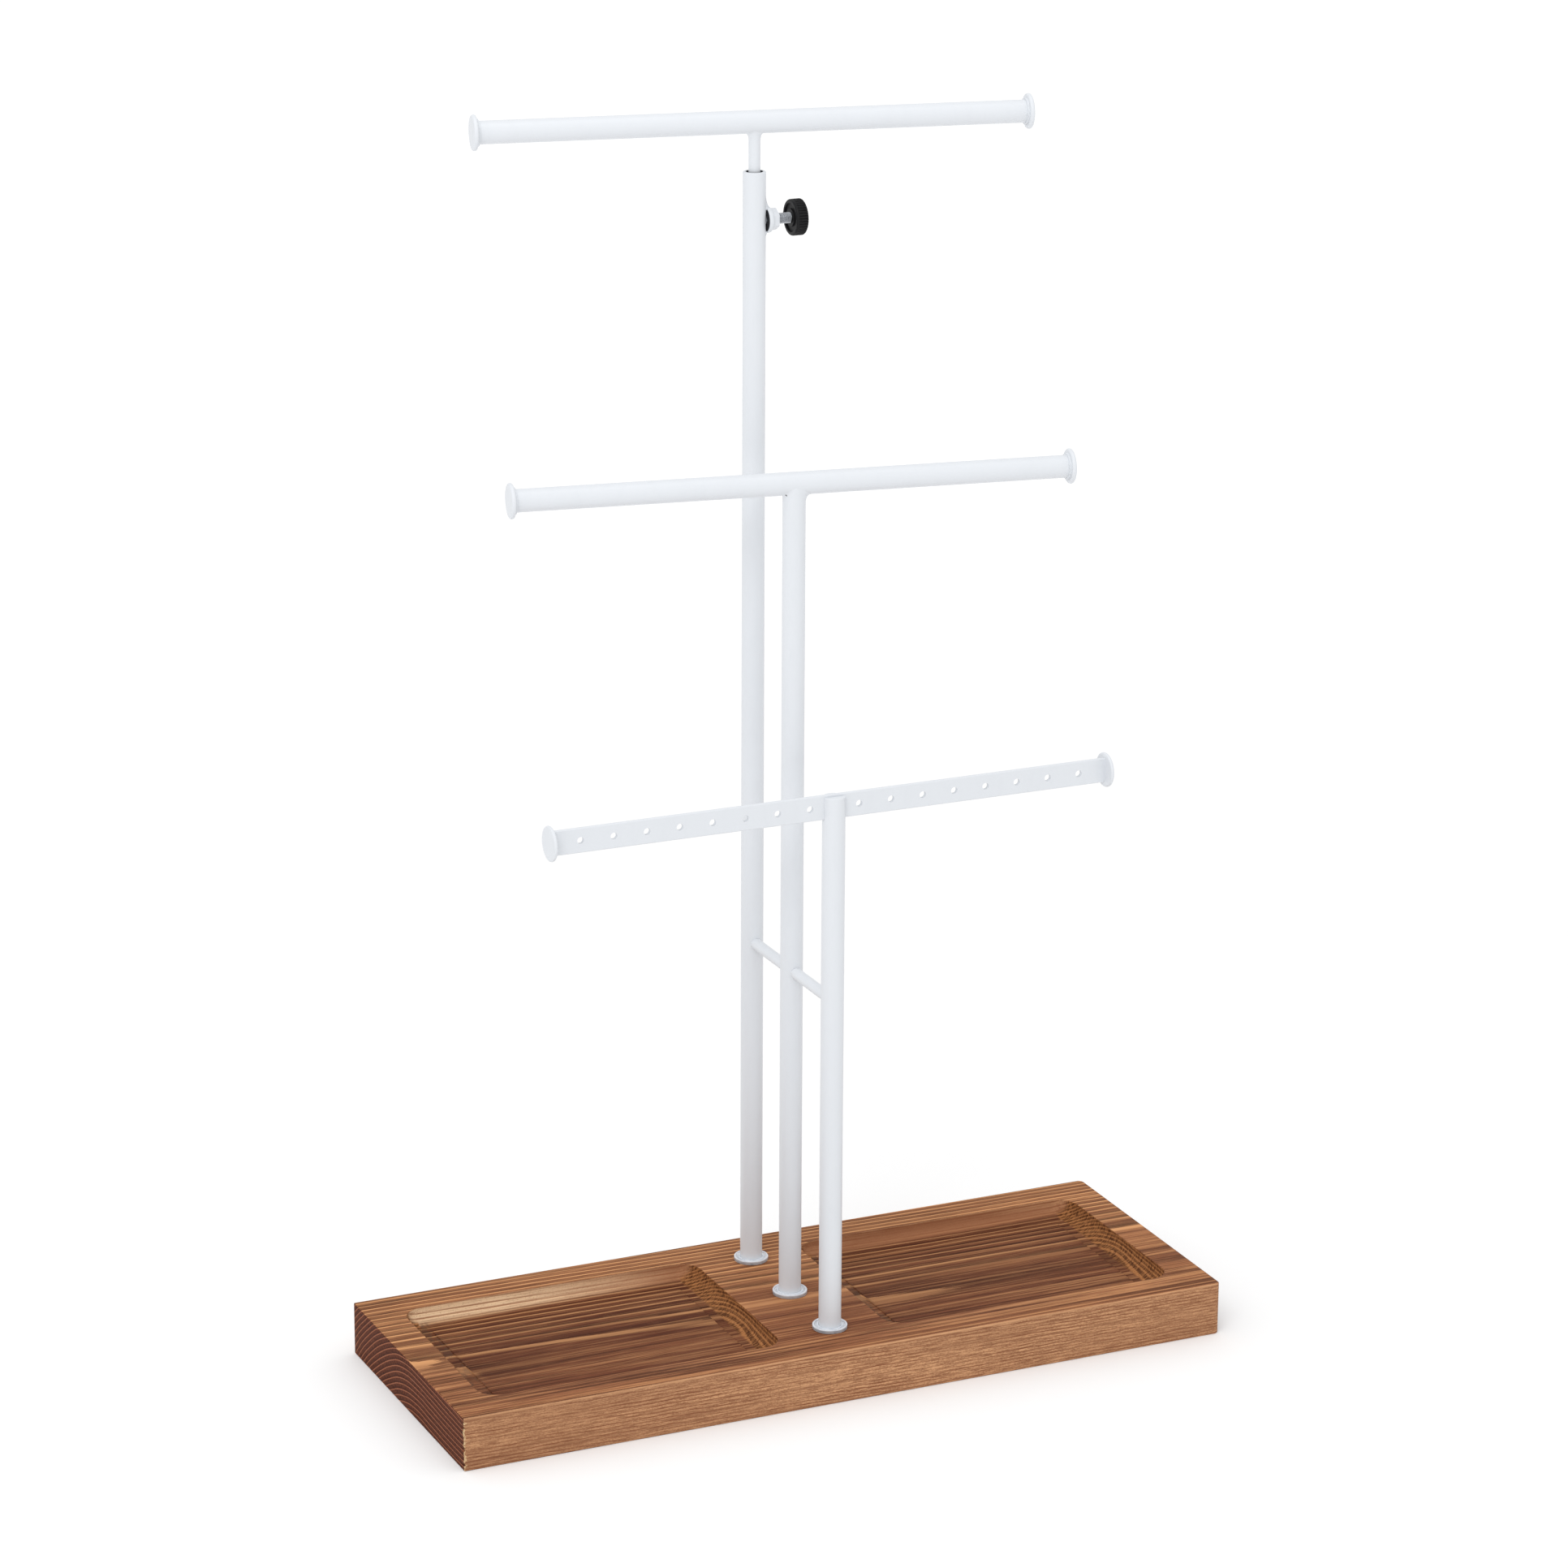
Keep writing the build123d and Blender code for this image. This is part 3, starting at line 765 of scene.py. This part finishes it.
def torn_faces(f, wood, grain):
    """The trays' end walls, where the cutter tore the fibres up between dark hollows."""
    crest = f.step((grain.rings * 1.5).fraction(), 0.50, 0.72)
    crest = crest * f.step(grain.strokes, 0.34, 0.50)
    colour = f.mix(f.step(grain.strokes, 0.44, 0.58) * 0.55, wood.torn_dark, wood.torn_light)
    return f.mix(crest * 0.85, colour, wood.torn_light)


def wear(f, wood, at, grain, colour):
    """Smudges in the left tracks, bare wood in the corner's chips and a rubbed front edge."""
    smudge = f.step(f.noise((0.35, 0.14, 0.2), 4.0, 0.7, (0, 7, 0)), 0.46, 0.56)
    colour = f.mix(at.left_track * smudge * 0.35, colour, wood.torn_patch)
    edge_x, edge_y, edge_z = at.x + BOARD_HALF[0], at.y + BOARD_HALF[1], at.z - BOARD_TOP
    chips = f.noise((0.5, 0.5, 0.9), 4.0, 0.7, (4, 4, 0))
    chipped = f.step(edge_x.hypot(edge_y) + chips * 7.0, 4.0, 3.4) * f.step(at.z, 19.4, 18.8)
    colour = f.mix(chipped * 0.85, colour, wood.bare)
    rubbed = edge_z.hypot(edge_y) + grain.grit * 1.2 + grain.tone * 1.2
    return f.layers(colour, (rubbed, 2.0, 1.2, 0.6, wood.side_light))


def stained_pine(wood):
    """Brown stained pine, with a colour of its own for each kind of face."""
    f = Finish("stained_pine", wood.stain_light)
    at = wood_masks(f)
    grain = wood_grain(f, wood, at)
    flat, long = flat_faces(f, wood, at, grain), long_faces(f, wood, at, grain)
    colour = f.mix(at.side * 0.96, flat, long)
    colour = f.mix(at.end, colour, end_faces(f, wood, grain))
    colour = f.mix(at.torn * 0.92, colour, torn_faces(f, wood, grain))
    colour = wear(f, wood, at, grain, colour)
    height = grain.pale * 0.03 + grain.fibre * 0.06 + grain.hairs * 0.03 + grain.grit * 0.03
    height = height + at.torn * grain.strokes * 0.16 + at.end * grain.ticks * 0.06
    roughness = 0.58 + 0.14 * grain.fibre - 0.05 * grain.pale
    return f.surface(colour, roughness, f.bump(height, 1.0, 0.9), Specular_IOR_Level=0.05)


def white_coat(metal):
    """Satin white powder coat with a fine orange peel and faint handling marks. Painted shade:
    the slit behind the clamp nut's flange, the mouth of the rear pole's bore round the rod and
    the gap beside the middle weld are painted near-black for the shade that falls in them."""
    f = Finish("white_coat", metal.coat_colour)
    peel = f.noise((1.6, 1.6, 1.6), 2.0, 0.5)
    pits = f.noise((5.0, 5.0, 5.0), 2.0, 0.5, (3, 3, 3))
    marks = f.noise((0.25, 0.25, 0.08), 4.0, 0.6, (8, 1, 6))
    colour = f.mix(f.step(marks, 0.45, 0.75) * 0.35, metal.coat_colour, metal.coat_worn)
    x, y, z = f.parts(f.place)
    y_rear = y - POLE_Y["rear"]
    from_screw, from_pole = y_rear.hypot(z - CLAMP_Z), y_rear.hypot(x)
    # Painted shade: near-black is painted into the slit behind the flange, the bore's mouth round
    # the rod and the gap beside the middle weld.
    slit = f.step(from_screw, NUT["flange_r"] - 0.2, NUT["flange_r"] - 0.4)
    slit = slit * f.step(x, POLE_R - 0.08, POLE_R - 0.04) * f.step(x, POLE_R + 0.06, POLE_R + 0.02)
    mouth = f.step(from_pole, POLE_BORE_R + 0.4, POLE_BORE_R + 0.05)
    mouth = mouth * f.step(from_pole, ROD["r"] + 0.2, ROD["r"] + 0.5)
    mouth = mouth * f.step(z, 380.0, 382.0) * f.step(z, POLE_TOP + 2.5, POLE_TOP + 1.5)
    gap = f.vector("DISTANCE", f.place, metal.painted_shade_spot_mm, output=1)
    colour = f.mix(slit + mouth + f.step(gap, 0.66, 0.50), colour, metal.painted_shade_black)
    normal = f.bump(peel * 0.8 + pits * 0.2, 0.03, 0.6)
    roughness = 0.34 + 0.10 * marks + 0.05 * pits
    return f.surface(colour, roughness, normal, Specular_IOR_Level=0.45)


def zinc(metal):
    """Bright zinc plate with a fine brushed grain and duller patches."""
    f = Finish("zinc", metal.zinc_colour)
    brushed = f.noise((6.0, 1.2, 1.2), 3.0, 0.6)
    patches = f.noise((0.5, 0.5, 0.5), 3.0, 0.6, (2, 2, 2))
    colour = f.mix(f.step(patches, 0.35, 0.7) * 0.5, metal.zinc_colour, (0.36, 0.37, 0.39))
    roughness = 0.24 + 0.22 * patches + 0.08 * brushed
    return f.surface(colour, roughness, f.bump(brushed, 0.02, 0.5), 1.0)


def black_plastic(metal):
    """Satin moulded black with a fine spark texture and rubbed ridges."""
    f = Finish("black_plastic", metal.knob_colour)
    spark = f.noise((7.0, 7.0, 7.0), 2.0, 0.5)
    rubbed = f.noise((0.9, 0.9, 0.9), 3.0, 0.6, (5, 0, 2))
    colour = f.mix(f.step(rubbed, 0.5, 0.8) * 0.4, metal.knob_colour, (0.022, 0.022, 0.025))
    normal = f.bump(spark, 0.02, 0.6)
    return f.surface(colour, 0.42 + 0.16 * rubbed, normal, Specular_IOR_Level=0.2)


def clear_plastic(metal):
    """Clear moulded plastic with a grey cast, faint flow lines and a thicker, more opaque lip that
    carries a painted highlight.
    """
    f = Finish("clear_plastic", metal.cup_colour)
    flow = f.noise((0.5, 0.5, 1.5), 2.0, 0.5)
    lip = f.step(f.parts(f.place)[2], BOARD_TOP + 0.95, BOARD_TOP + 1.35)
    colour = f.mix(f.step(flow, 0.45, 0.65) * 0.6, metal.cup_colour, (0.42, 0.46, 0.53))
    # Painted highlight: the lip is painted paler. Its higher alpha below stands for the thicker
    # plastic.
    colour = f.mix(lip * 0.5, colour, (0.82, 0.86, 0.92))
    alpha = metal.cup_alpha + lip * (0.85 - metal.cup_alpha)
    return f.surface(colour, 0.06 + 0.06 * flow, f.bump(flow, 0.06, 0.5), Alpha=alpha)


def nylon(metal):
    """Natural nylon, dull and slightly mottled."""
    f = Finish("nylon", (0.80, 0.79, 0.74))
    mottle = f.noise((0.8, 0.8, 0.8), 3.0, 0.6)
    colour = f.mix(mottle, (0.82, 0.81, 0.76), (0.70, 0.68, 0.62))
    return f.surface(colour, 0.45 + 0.15 * mottle, f.bump(mottle, 0.03, 0.4))


def finish(name):
    """The finish of that name, made once by the maker of that name. A material of the
    frame's that has the name already is renamed."""
    found = bpy.data.materials.get(name)
    if found and found.get("jewellery_tree"):
        return found
    if found:
        found.name = name + "_frame"
    scene = bpy.context.scene
    settings = scene.tree_wood if name == "stained_pine" else scene.tree_metal
    made = MAKERS[name](settings)
    made["jewellery_tree"] = True
    return made


FINISHES = (stained_pine, white_coat, zinc, black_plastic, clear_plastic, nylon)
MAKERS = {maker.__name__: maker for maker in FINISHES}


def dress(slot, *nodes):
    """Gives solids that keep their own mesh the finish of their slot."""
    for node in nodes:
        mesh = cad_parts[node].data
        mesh.materials.clear()
        mesh.materials.append(finish(slot))


# ---- settings -------------------------------------------------------------------------------

def colour_setting(name, description, default):
    return bpy.props.FloatVectorProperty(
        name=name, description=description, default=default, size=3, min=0, max=1,
        subtype="COLOR",
    )


class TreeWoodSettings(bpy.types.PropertyGroup):
    ring_width_mm: bpy.props.FloatProperty(
        name="Ring width", description="Growth ring width in millimetres", default=1.95, min=0.5
    )
    chip_depth: bpy.props.FloatProperty(
        name="Chip depth", description="Depth of the torn front left corner", default=0.0005,
        min=0, unit="LENGTH",
    )
    stain_dark: colour_setting("Dark stain", "Darkest stain on the faces", (0.050, 0.015, 0.008))
    stain_mid: colour_setting("Stain", "Stain between the grain lines", (0.175, 0.053, 0.026))
    stain_warm: colour_setting("Warm stain", "Stain where it took less", (0.275, 0.100, 0.046))
    stain_light: colour_setting("Grain line", "Pale grain lines", (0.70, 0.345, 0.15))
    side_dark: colour_setting("Side, dark", "Dark grain of the long sides", (0.26, 0.115, 0.058))
    side_light: colour_setting("Side, light", "Light grain of the long sides", (0.70, 0.385, 0.20))
    end_dark: colour_setting("End grain", "Stained end grain", (0.042, 0.011, 0.006))
    end_line: colour_setting("End ring line", "Ring lines of the end grain", (0.39, 0.140, 0.070))
    torn_dark: colour_setting("Torn grain, dark", "Hollows of torn grain", (0.080, 0.028, 0.010))
    torn_light: colour_setting("Torn grain, light", "Fibres of torn grain", (0.46, 0.195, 0.07))
    torn_patch: colour_setting("Torn patch", "Patches where the cutter tore", (0.075, 0.05, 0.035))
    cove_line: colour_setting("Cove line", "Pale lines in the coves", (0.90, 0.65, 0.41))
    bare: colour_setting("Bare wood", "Unstained wood in chips", (0.74, 0.54, 0.30))


class TreeMetalSettings(bpy.types.PropertyGroup):
    coat_colour: colour_setting("Powder coat", "White coat of the steel", (0.71, 0.735, 0.77))
    coat_worn: colour_setting("Handled coat", "Coat where it is handled", (0.68, 0.705, 0.74))
    # Painted shade: the near-black colour painted into the slit, the bore's mouth and the weld gap,
    # and the middle of that gap.
    painted_shade_black: colour_setting("Painted shade", "Near-black painted shade in gaps", (0.02, 0.02, 0.024))
    painted_shade_spot_mm: bpy.props.FloatVectorProperty(
        name="Painted shade spot", description="Middle of the gap beside the middle weld, in millimetres",
        default=(-4.2, -2.1, 323.2), subtype="XYZ",
    )
    zinc_colour: colour_setting("Zinc", "Zinc plate of screws", (0.52, 0.54, 0.57))
    knob_colour: colour_setting("Knob", "Moulded knob", (0.006, 0.006, 0.007))
    cup_colour: colour_setting("Cup washer", "Clear cup washers", (0.80, 0.84, 0.90))
    cup_alpha: bpy.props.FloatProperty(
        name="Cup opacity", description="How much of the wood the cups hide", default=0.48,
        min=0, max=1, subtype="FACTOR",
    )
    thread_pitch: bpy.props.FloatProperty(
        name="Thread pitch", description="Pitch of the thumbscrew", default=0.0007, min=0.0002,
        unit="LENGTH",
    )
    knob_ribs: bpy.props.IntProperty(
        name="Knob ribs", description="Straight ribs round the knob", default=40, min=6
    )
    rib_depth: bpy.props.FloatProperty(
        name="Rib depth", description="Depth between the knob's ribs", default=0.00045, min=0,
        unit="LENGTH",
    )


class TreeStageSettings(bpy.types.PropertyGroup):
    lens: bpy.props.FloatProperty(
        name="Lens", description="Focal length in millimetres", default=119.86, min=10
    )
    camera_place: bpy.props.FloatVectorProperty(
        name="Camera", description="Where the camera stands", default=(-0.7391, -1.6169, 0.7765),
        subtype="XYZ", unit="LENGTH",
    )
    camera_angles: bpy.props.FloatVectorProperty(
        name="Camera angles", description="Tilt up from straight down, turn about Z and roll",
        default=(radians(72.514), radians(-24.467), radians(0.284)), subtype="EULER",
    )
    sky: bpy.props.FloatProperty(
        name="Sky", description="Strength of the even white surroundings", default=0.85, min=0
    )
    key: bpy.props.FloatProperty(
        name="Key light", description="Power of the front left softbox", default=12.0, min=0,
        unit="POWER",
    )
    top: bpy.props.FloatProperty(
        name="Top light", description="Power of the softbox overhead", default=9.0, min=0,
        unit="POWER",
    )
    floor_colour: colour_setting("Floor", "Pale floor", (0.88, 0.88, 0.88))
    floor_glow: bpy.props.FloatProperty(
        name="Floor glow", description="Light that shines through the floor", default=0.28, min=0
    )


# ---- operators ------------------------------------------------------------------------------

class TREE_OT_board(bpy.types.Operator):
    """Makes the pine board with its two milled trays, screw holes and torn corner"""

    bl_idname = "tree.board"
    bl_label = "Wood Board"

    def execute(self, context):
        patches = [tray_patch(-1), tray_patch(1), underside_patch(-1), underside_patch(1)]
        patches += wall_patches() + land_cells()
        board = make_piece(
            "pine_board", "stand", patches, "stained_pine", ["wood_board"], 30.0
        )
        chip_corner(board, context.scene.tree_wood.chip_depth)
        return {"FINISHED"}


class TREE_OT_poles(bpy.types.Operator):
    """Makes the middle pole with its weld, and dresses the other poles and the tie rods"""

    bl_idname = "tree.poles"
    bl_label = "Poles and Tie Rods"

    def execute(self, context):
        foot = rounded(
            [(POLE_BORE_R, POLE_FOOT + 0.4), (POLE_BORE_R, POLE_FOOT), (POLE_R, POLE_FOOT),
             (POLE_R, POLE_FOOT + 1.0), (POLE_R, MID_BAR["z"] - 9.0)],
            (0.1, 0.35, 0.1),
        )
        stem = welded_stem(foot, POLE_R, POLE_BORE_R, MID_BAR["z"], (0.8, 1.9), (0.8, 3.6), 0.4)
        stem = placed(stem, y=POLE_Y["mid"], turn=MID_BAR["turn"])
        make_piece(
            "mid_pole_welded", "stand", [patch(stem, True, True)], "white_coat", ["mid_pole"]
        )
        dress("white_coat", "rear_pole", "front_pole", "tie_rod_rear", "tie_rod_front")
        return {"FINISHED"}


class TREE_OT_bars(bpy.types.Operator):
    """Dresses the round bars, the earring bar and their end discs"""

    bl_idname = "tree.bars"
    bl_label = "Bars and End Discs"

    def execute(self, context):
        dress(
            "white_coat", "mid_bar", "mid_cap_left", "mid_cap_right", "top_bar", "top_cap_left",
            "top_cap_right", "earring_bar", "earring_cap_left", "earring_cap_right",
        )
        return {"FINISHED"}


class TREE_OT_rod(bpy.types.Operator):
    """Makes the telescopic rod with its neck and its weld under the top bar"""

    bl_idname = "tree.rod"
    bl_label = "Telescopic Rod"

    def execute(self, context):
        r, neck = ROD["r"], ROD["neck_r"]
        foot = rounded(
            [(0.0, ROD["bottom"]), (r, ROD["bottom"]), (r, ROD["neck_low"]),
             (neck, ROD["neck_low"]), (neck, ROD["neck_high"]), (r, ROD["neck_high"]),
             (r, TOP_BAR["z"] - 8.0)],
            (0.4, 0.15, 0.1, 0.1, 0.15), 4,
        )
        stem = welded_stem(foot, r, 0.0, TOP_BAR["z"], (1.2, 1.2), (3.0, 3.0), 2.2, 96)
        stem = placed(stem, y=POLE_Y["rear"], turn=TOP_BAR["turn"])
        make_piece(
            "telescopic_rod_welded", "top_tee", [patch(stem, False, True)], "white_coat",
            ["telescopic_rod"],
        )
        dress("nylon", "guide_bush")
        return {"FINISHED"}


class TREE_OT_clamp(bpy.types.Operator):
    """Makes the welded flange nut, the thumbscrew's thread and its knurled knob"""

    bl_idname = "tree.clamp"
    bl_label = "Clamp"

    def execute(self, context):
        metal, y = context.scene.tree_metal, POLE_Y["rear"]
        nut = placed(lying(nut_surface()), POLE_R, y, CLAMP_Z)
        beads = [
            placed(weld_ramp(5.0, 2.0, 1.7, 1), y=y),
            placed(weld_ramp(1.9, 1.9, 1.5, -1), y=y),
        ]
        make_piece(
            "clamp_nut_welded", "stand",
            [patch(nut, True, True)] + [patch(bead, False, True) for bead in beads],
            "white_coat", ["clamp_nut"], 40.0,
        )
        length = SCREW["end"] - SCREW["start"]
        thread = thread_surface(length, metal.thread_pitch / MM)
        make_piece(
            "thumbscrew_thread", "clamp_shank",
            [patch(placed(lying(thread), SCREW["start"], y, CLAMP_Z), False, True)],
            "zinc", ["clamp_screw"], 60.0,
        )
        knob = knob_surface(metal.knob_ribs, metal.rib_depth / MM)
        make_piece(
            "thumbscrew_knob", "knob",
            [patch(placed(lying(knob), KNOB["x"], y, CLAMP_Z), False, True)],
            "black_plastic", ["clamp_knob"], 40.0,
        )
        return {"FINISHED"}


class TREE_OT_feet(bpy.types.Operator):
    """Makes the clear cup washers and dresses the screws, washers and inserts"""

    bl_idname = "tree.feet"
    bl_label = "Feet and Fasteners"

    def execute(self, context):
        for name, y in POLE_Y.items():
            cup = placed(lathe(cup_profile(), 96), y=y, z=BOARD_TOP)
            make_piece(
                f"cup_washer_{name}", "stand", [patch(cup, True, True)], "clear_plastic",
                [f"foot_cup_{name}"], 50.0,
            )
            dress("zinc", f"base_screw_{name}", f"plate_washer_{name}", f"pole_insert_{name}")
        return {"FINISHED"}


FLOOR_HALF = 6.0
FLOOR_DROP = 0.0001
SENSOR_MM = 36.0


class TREE_OT_stage(bpy.types.Operator):
    """Makes the pale floor, the soft lights, the white surroundings and the camera"""

    bl_idname = "tree.stage"
    bl_label = "Stage"

    def execute(self, context):
        scene, stage = context.scene, context.scene.tree_stage
        reach = np.linspace(-FLOOR_HALF, FLOOR_HALF, 25)
        x, y = np.meshgrid(reach, reach)
        floor_points = np.stack([x, y, 0 * x - FLOOR_DROP], -1)
        points, faces = patch(floor_points)
        mesh = bpy.data.meshes.new("floor")
        mesh.from_pydata(points.tolist(), [], faces.tolist())
        floor = bpy.data.objects.new("floor", mesh)
        scene.collection.objects.link(floor)
        paper = Finish("paper_floor", stage.floor_colour)
        tooth = paper.noise((0.2, 0.2, 0.2), 2.0, 0.5)
        # Painted shade: the floor's glow is weaker within a few hundred millimetres of the board,
        # which darkens the floor round it.
        far = paper.step(paper.vector("LENGTH", paper.place, output=1), 300.0, 1800.0)
        mesh.materials.append(
            paper.surface(
                paper.mix(tooth * 0.3, stage.floor_colour, (0.87, 0.87, 0.87)),
                0.7 + 0.1 * tooth, Specular_IOR_Level=0.0,
                Emission_Color=paper.mix(far, (0.3, 0.3, 0.3), (1.0, 1.0, 1.0)),
                Emission_Strength=stage.floor_glow,
            )
        )

        world = bpy.data.worlds.new("studio")
        world.use_nodes = True
        sky = world.node_tree.nodes["Background"]
        sky.inputs["Color"].default_value = (1.0, 1.0, 1.0, 1.0)
        sky.inputs["Strength"].default_value = stage.sky
        scene.world = world

        def softbox(name, place, aim, size, power):
            light = bpy.data.lights.new(name, "AREA")
            light.shape, light.size, light.size_y = "RECTANGLE", size, size
            light.energy = power
            lamp = bpy.data.objects.new(name, light)
            lamp.location = place
            lamp.rotation_euler = (Vector(aim) - Vector(place)).to_track_quat("-Z", "Y").to_euler()
            scene.collection.objects.link(lamp)

        softbox("key_softbox", (-1.25, -1.35, 1.8), (0.0, 0.0, 0.2), 1.0, stage.key)
        softbox("top_softbox", (-0.2, -0.2, 2.4), (0.0, 0.0, 0.2), 1.4, stage.top)

        camera = bpy.data.cameras.new("camera")
        camera.lens = stage.lens
        camera.sensor_width = SENSOR_MM
        holder = bpy.data.objects.new("camera", camera)
        tilt, turn, roll = stage.camera_angles
        spin = Euler((tilt, 0.0, turn)).to_matrix() @ Matrix.Rotation(roll, 3, "Z")
        holder.matrix_world = Matrix.Translation(stage.camera_place) @ spin.to_4x4()
        scene.collection.objects.link(holder)
        scene.camera = holder
        scene.view_settings.view_transform = "Standard"
        return {"FINISHED"}


OPERATORS = (
    TREE_OT_stage, TREE_OT_board, TREE_OT_poles, TREE_OT_bars, TREE_OT_rod, TREE_OT_clamp,
    TREE_OT_feet,
)


class TREE_PT_panel(bpy.types.Panel):
    """Lists the tree's pieces and settings in the sidebar"""

    bl_idname = "TREE_PT_panel"
    bl_label = "Jewellery Tree"
    bl_space_type = "VIEW_3D"
    bl_region_type = "UI"
    bl_category = "Jewellery Tree"

    def draw(self, context):
        for operator in OPERATORS:
            self.layout.operator(operator.bl_idname)
        scene = context.scene
        for settings in (scene.tree_wood, scene.tree_metal, scene.tree_stage):
            for name in settings.bl_rna.properties.keys():
                if name not in ("name", "rna_type"):
                    self.layout.prop(settings, name)


CLASSES = (TreeWoodSettings, TreeMetalSettings, TreeStageSettings, *OPERATORS, TREE_PT_panel)


def register():
    for cls in CLASSES:
        bpy.utils.register_class(cls)
    bpy.types.Scene.tree_wood = bpy.props.PointerProperty(type=TreeWoodSettings)
    bpy.types.Scene.tree_metal = bpy.props.PointerProperty(type=TreeMetalSettings)
    bpy.types.Scene.tree_stage = bpy.props.PointerProperty(type=TreeStageSettings)


def unregister():
    del bpy.types.Scene.tree_wood, bpy.types.Scene.tree_metal, bpy.types.Scene.tree_stage
    for cls in reversed(CLASSES):
        bpy.utils.unregister_class(cls)


def main():
    register()
    for operator in OPERATORS:
        group, name = operator.bl_idname.split(".")
        getattr(getattr(bpy.ops, group), name)()


if __name__ == "__main__":
    main()
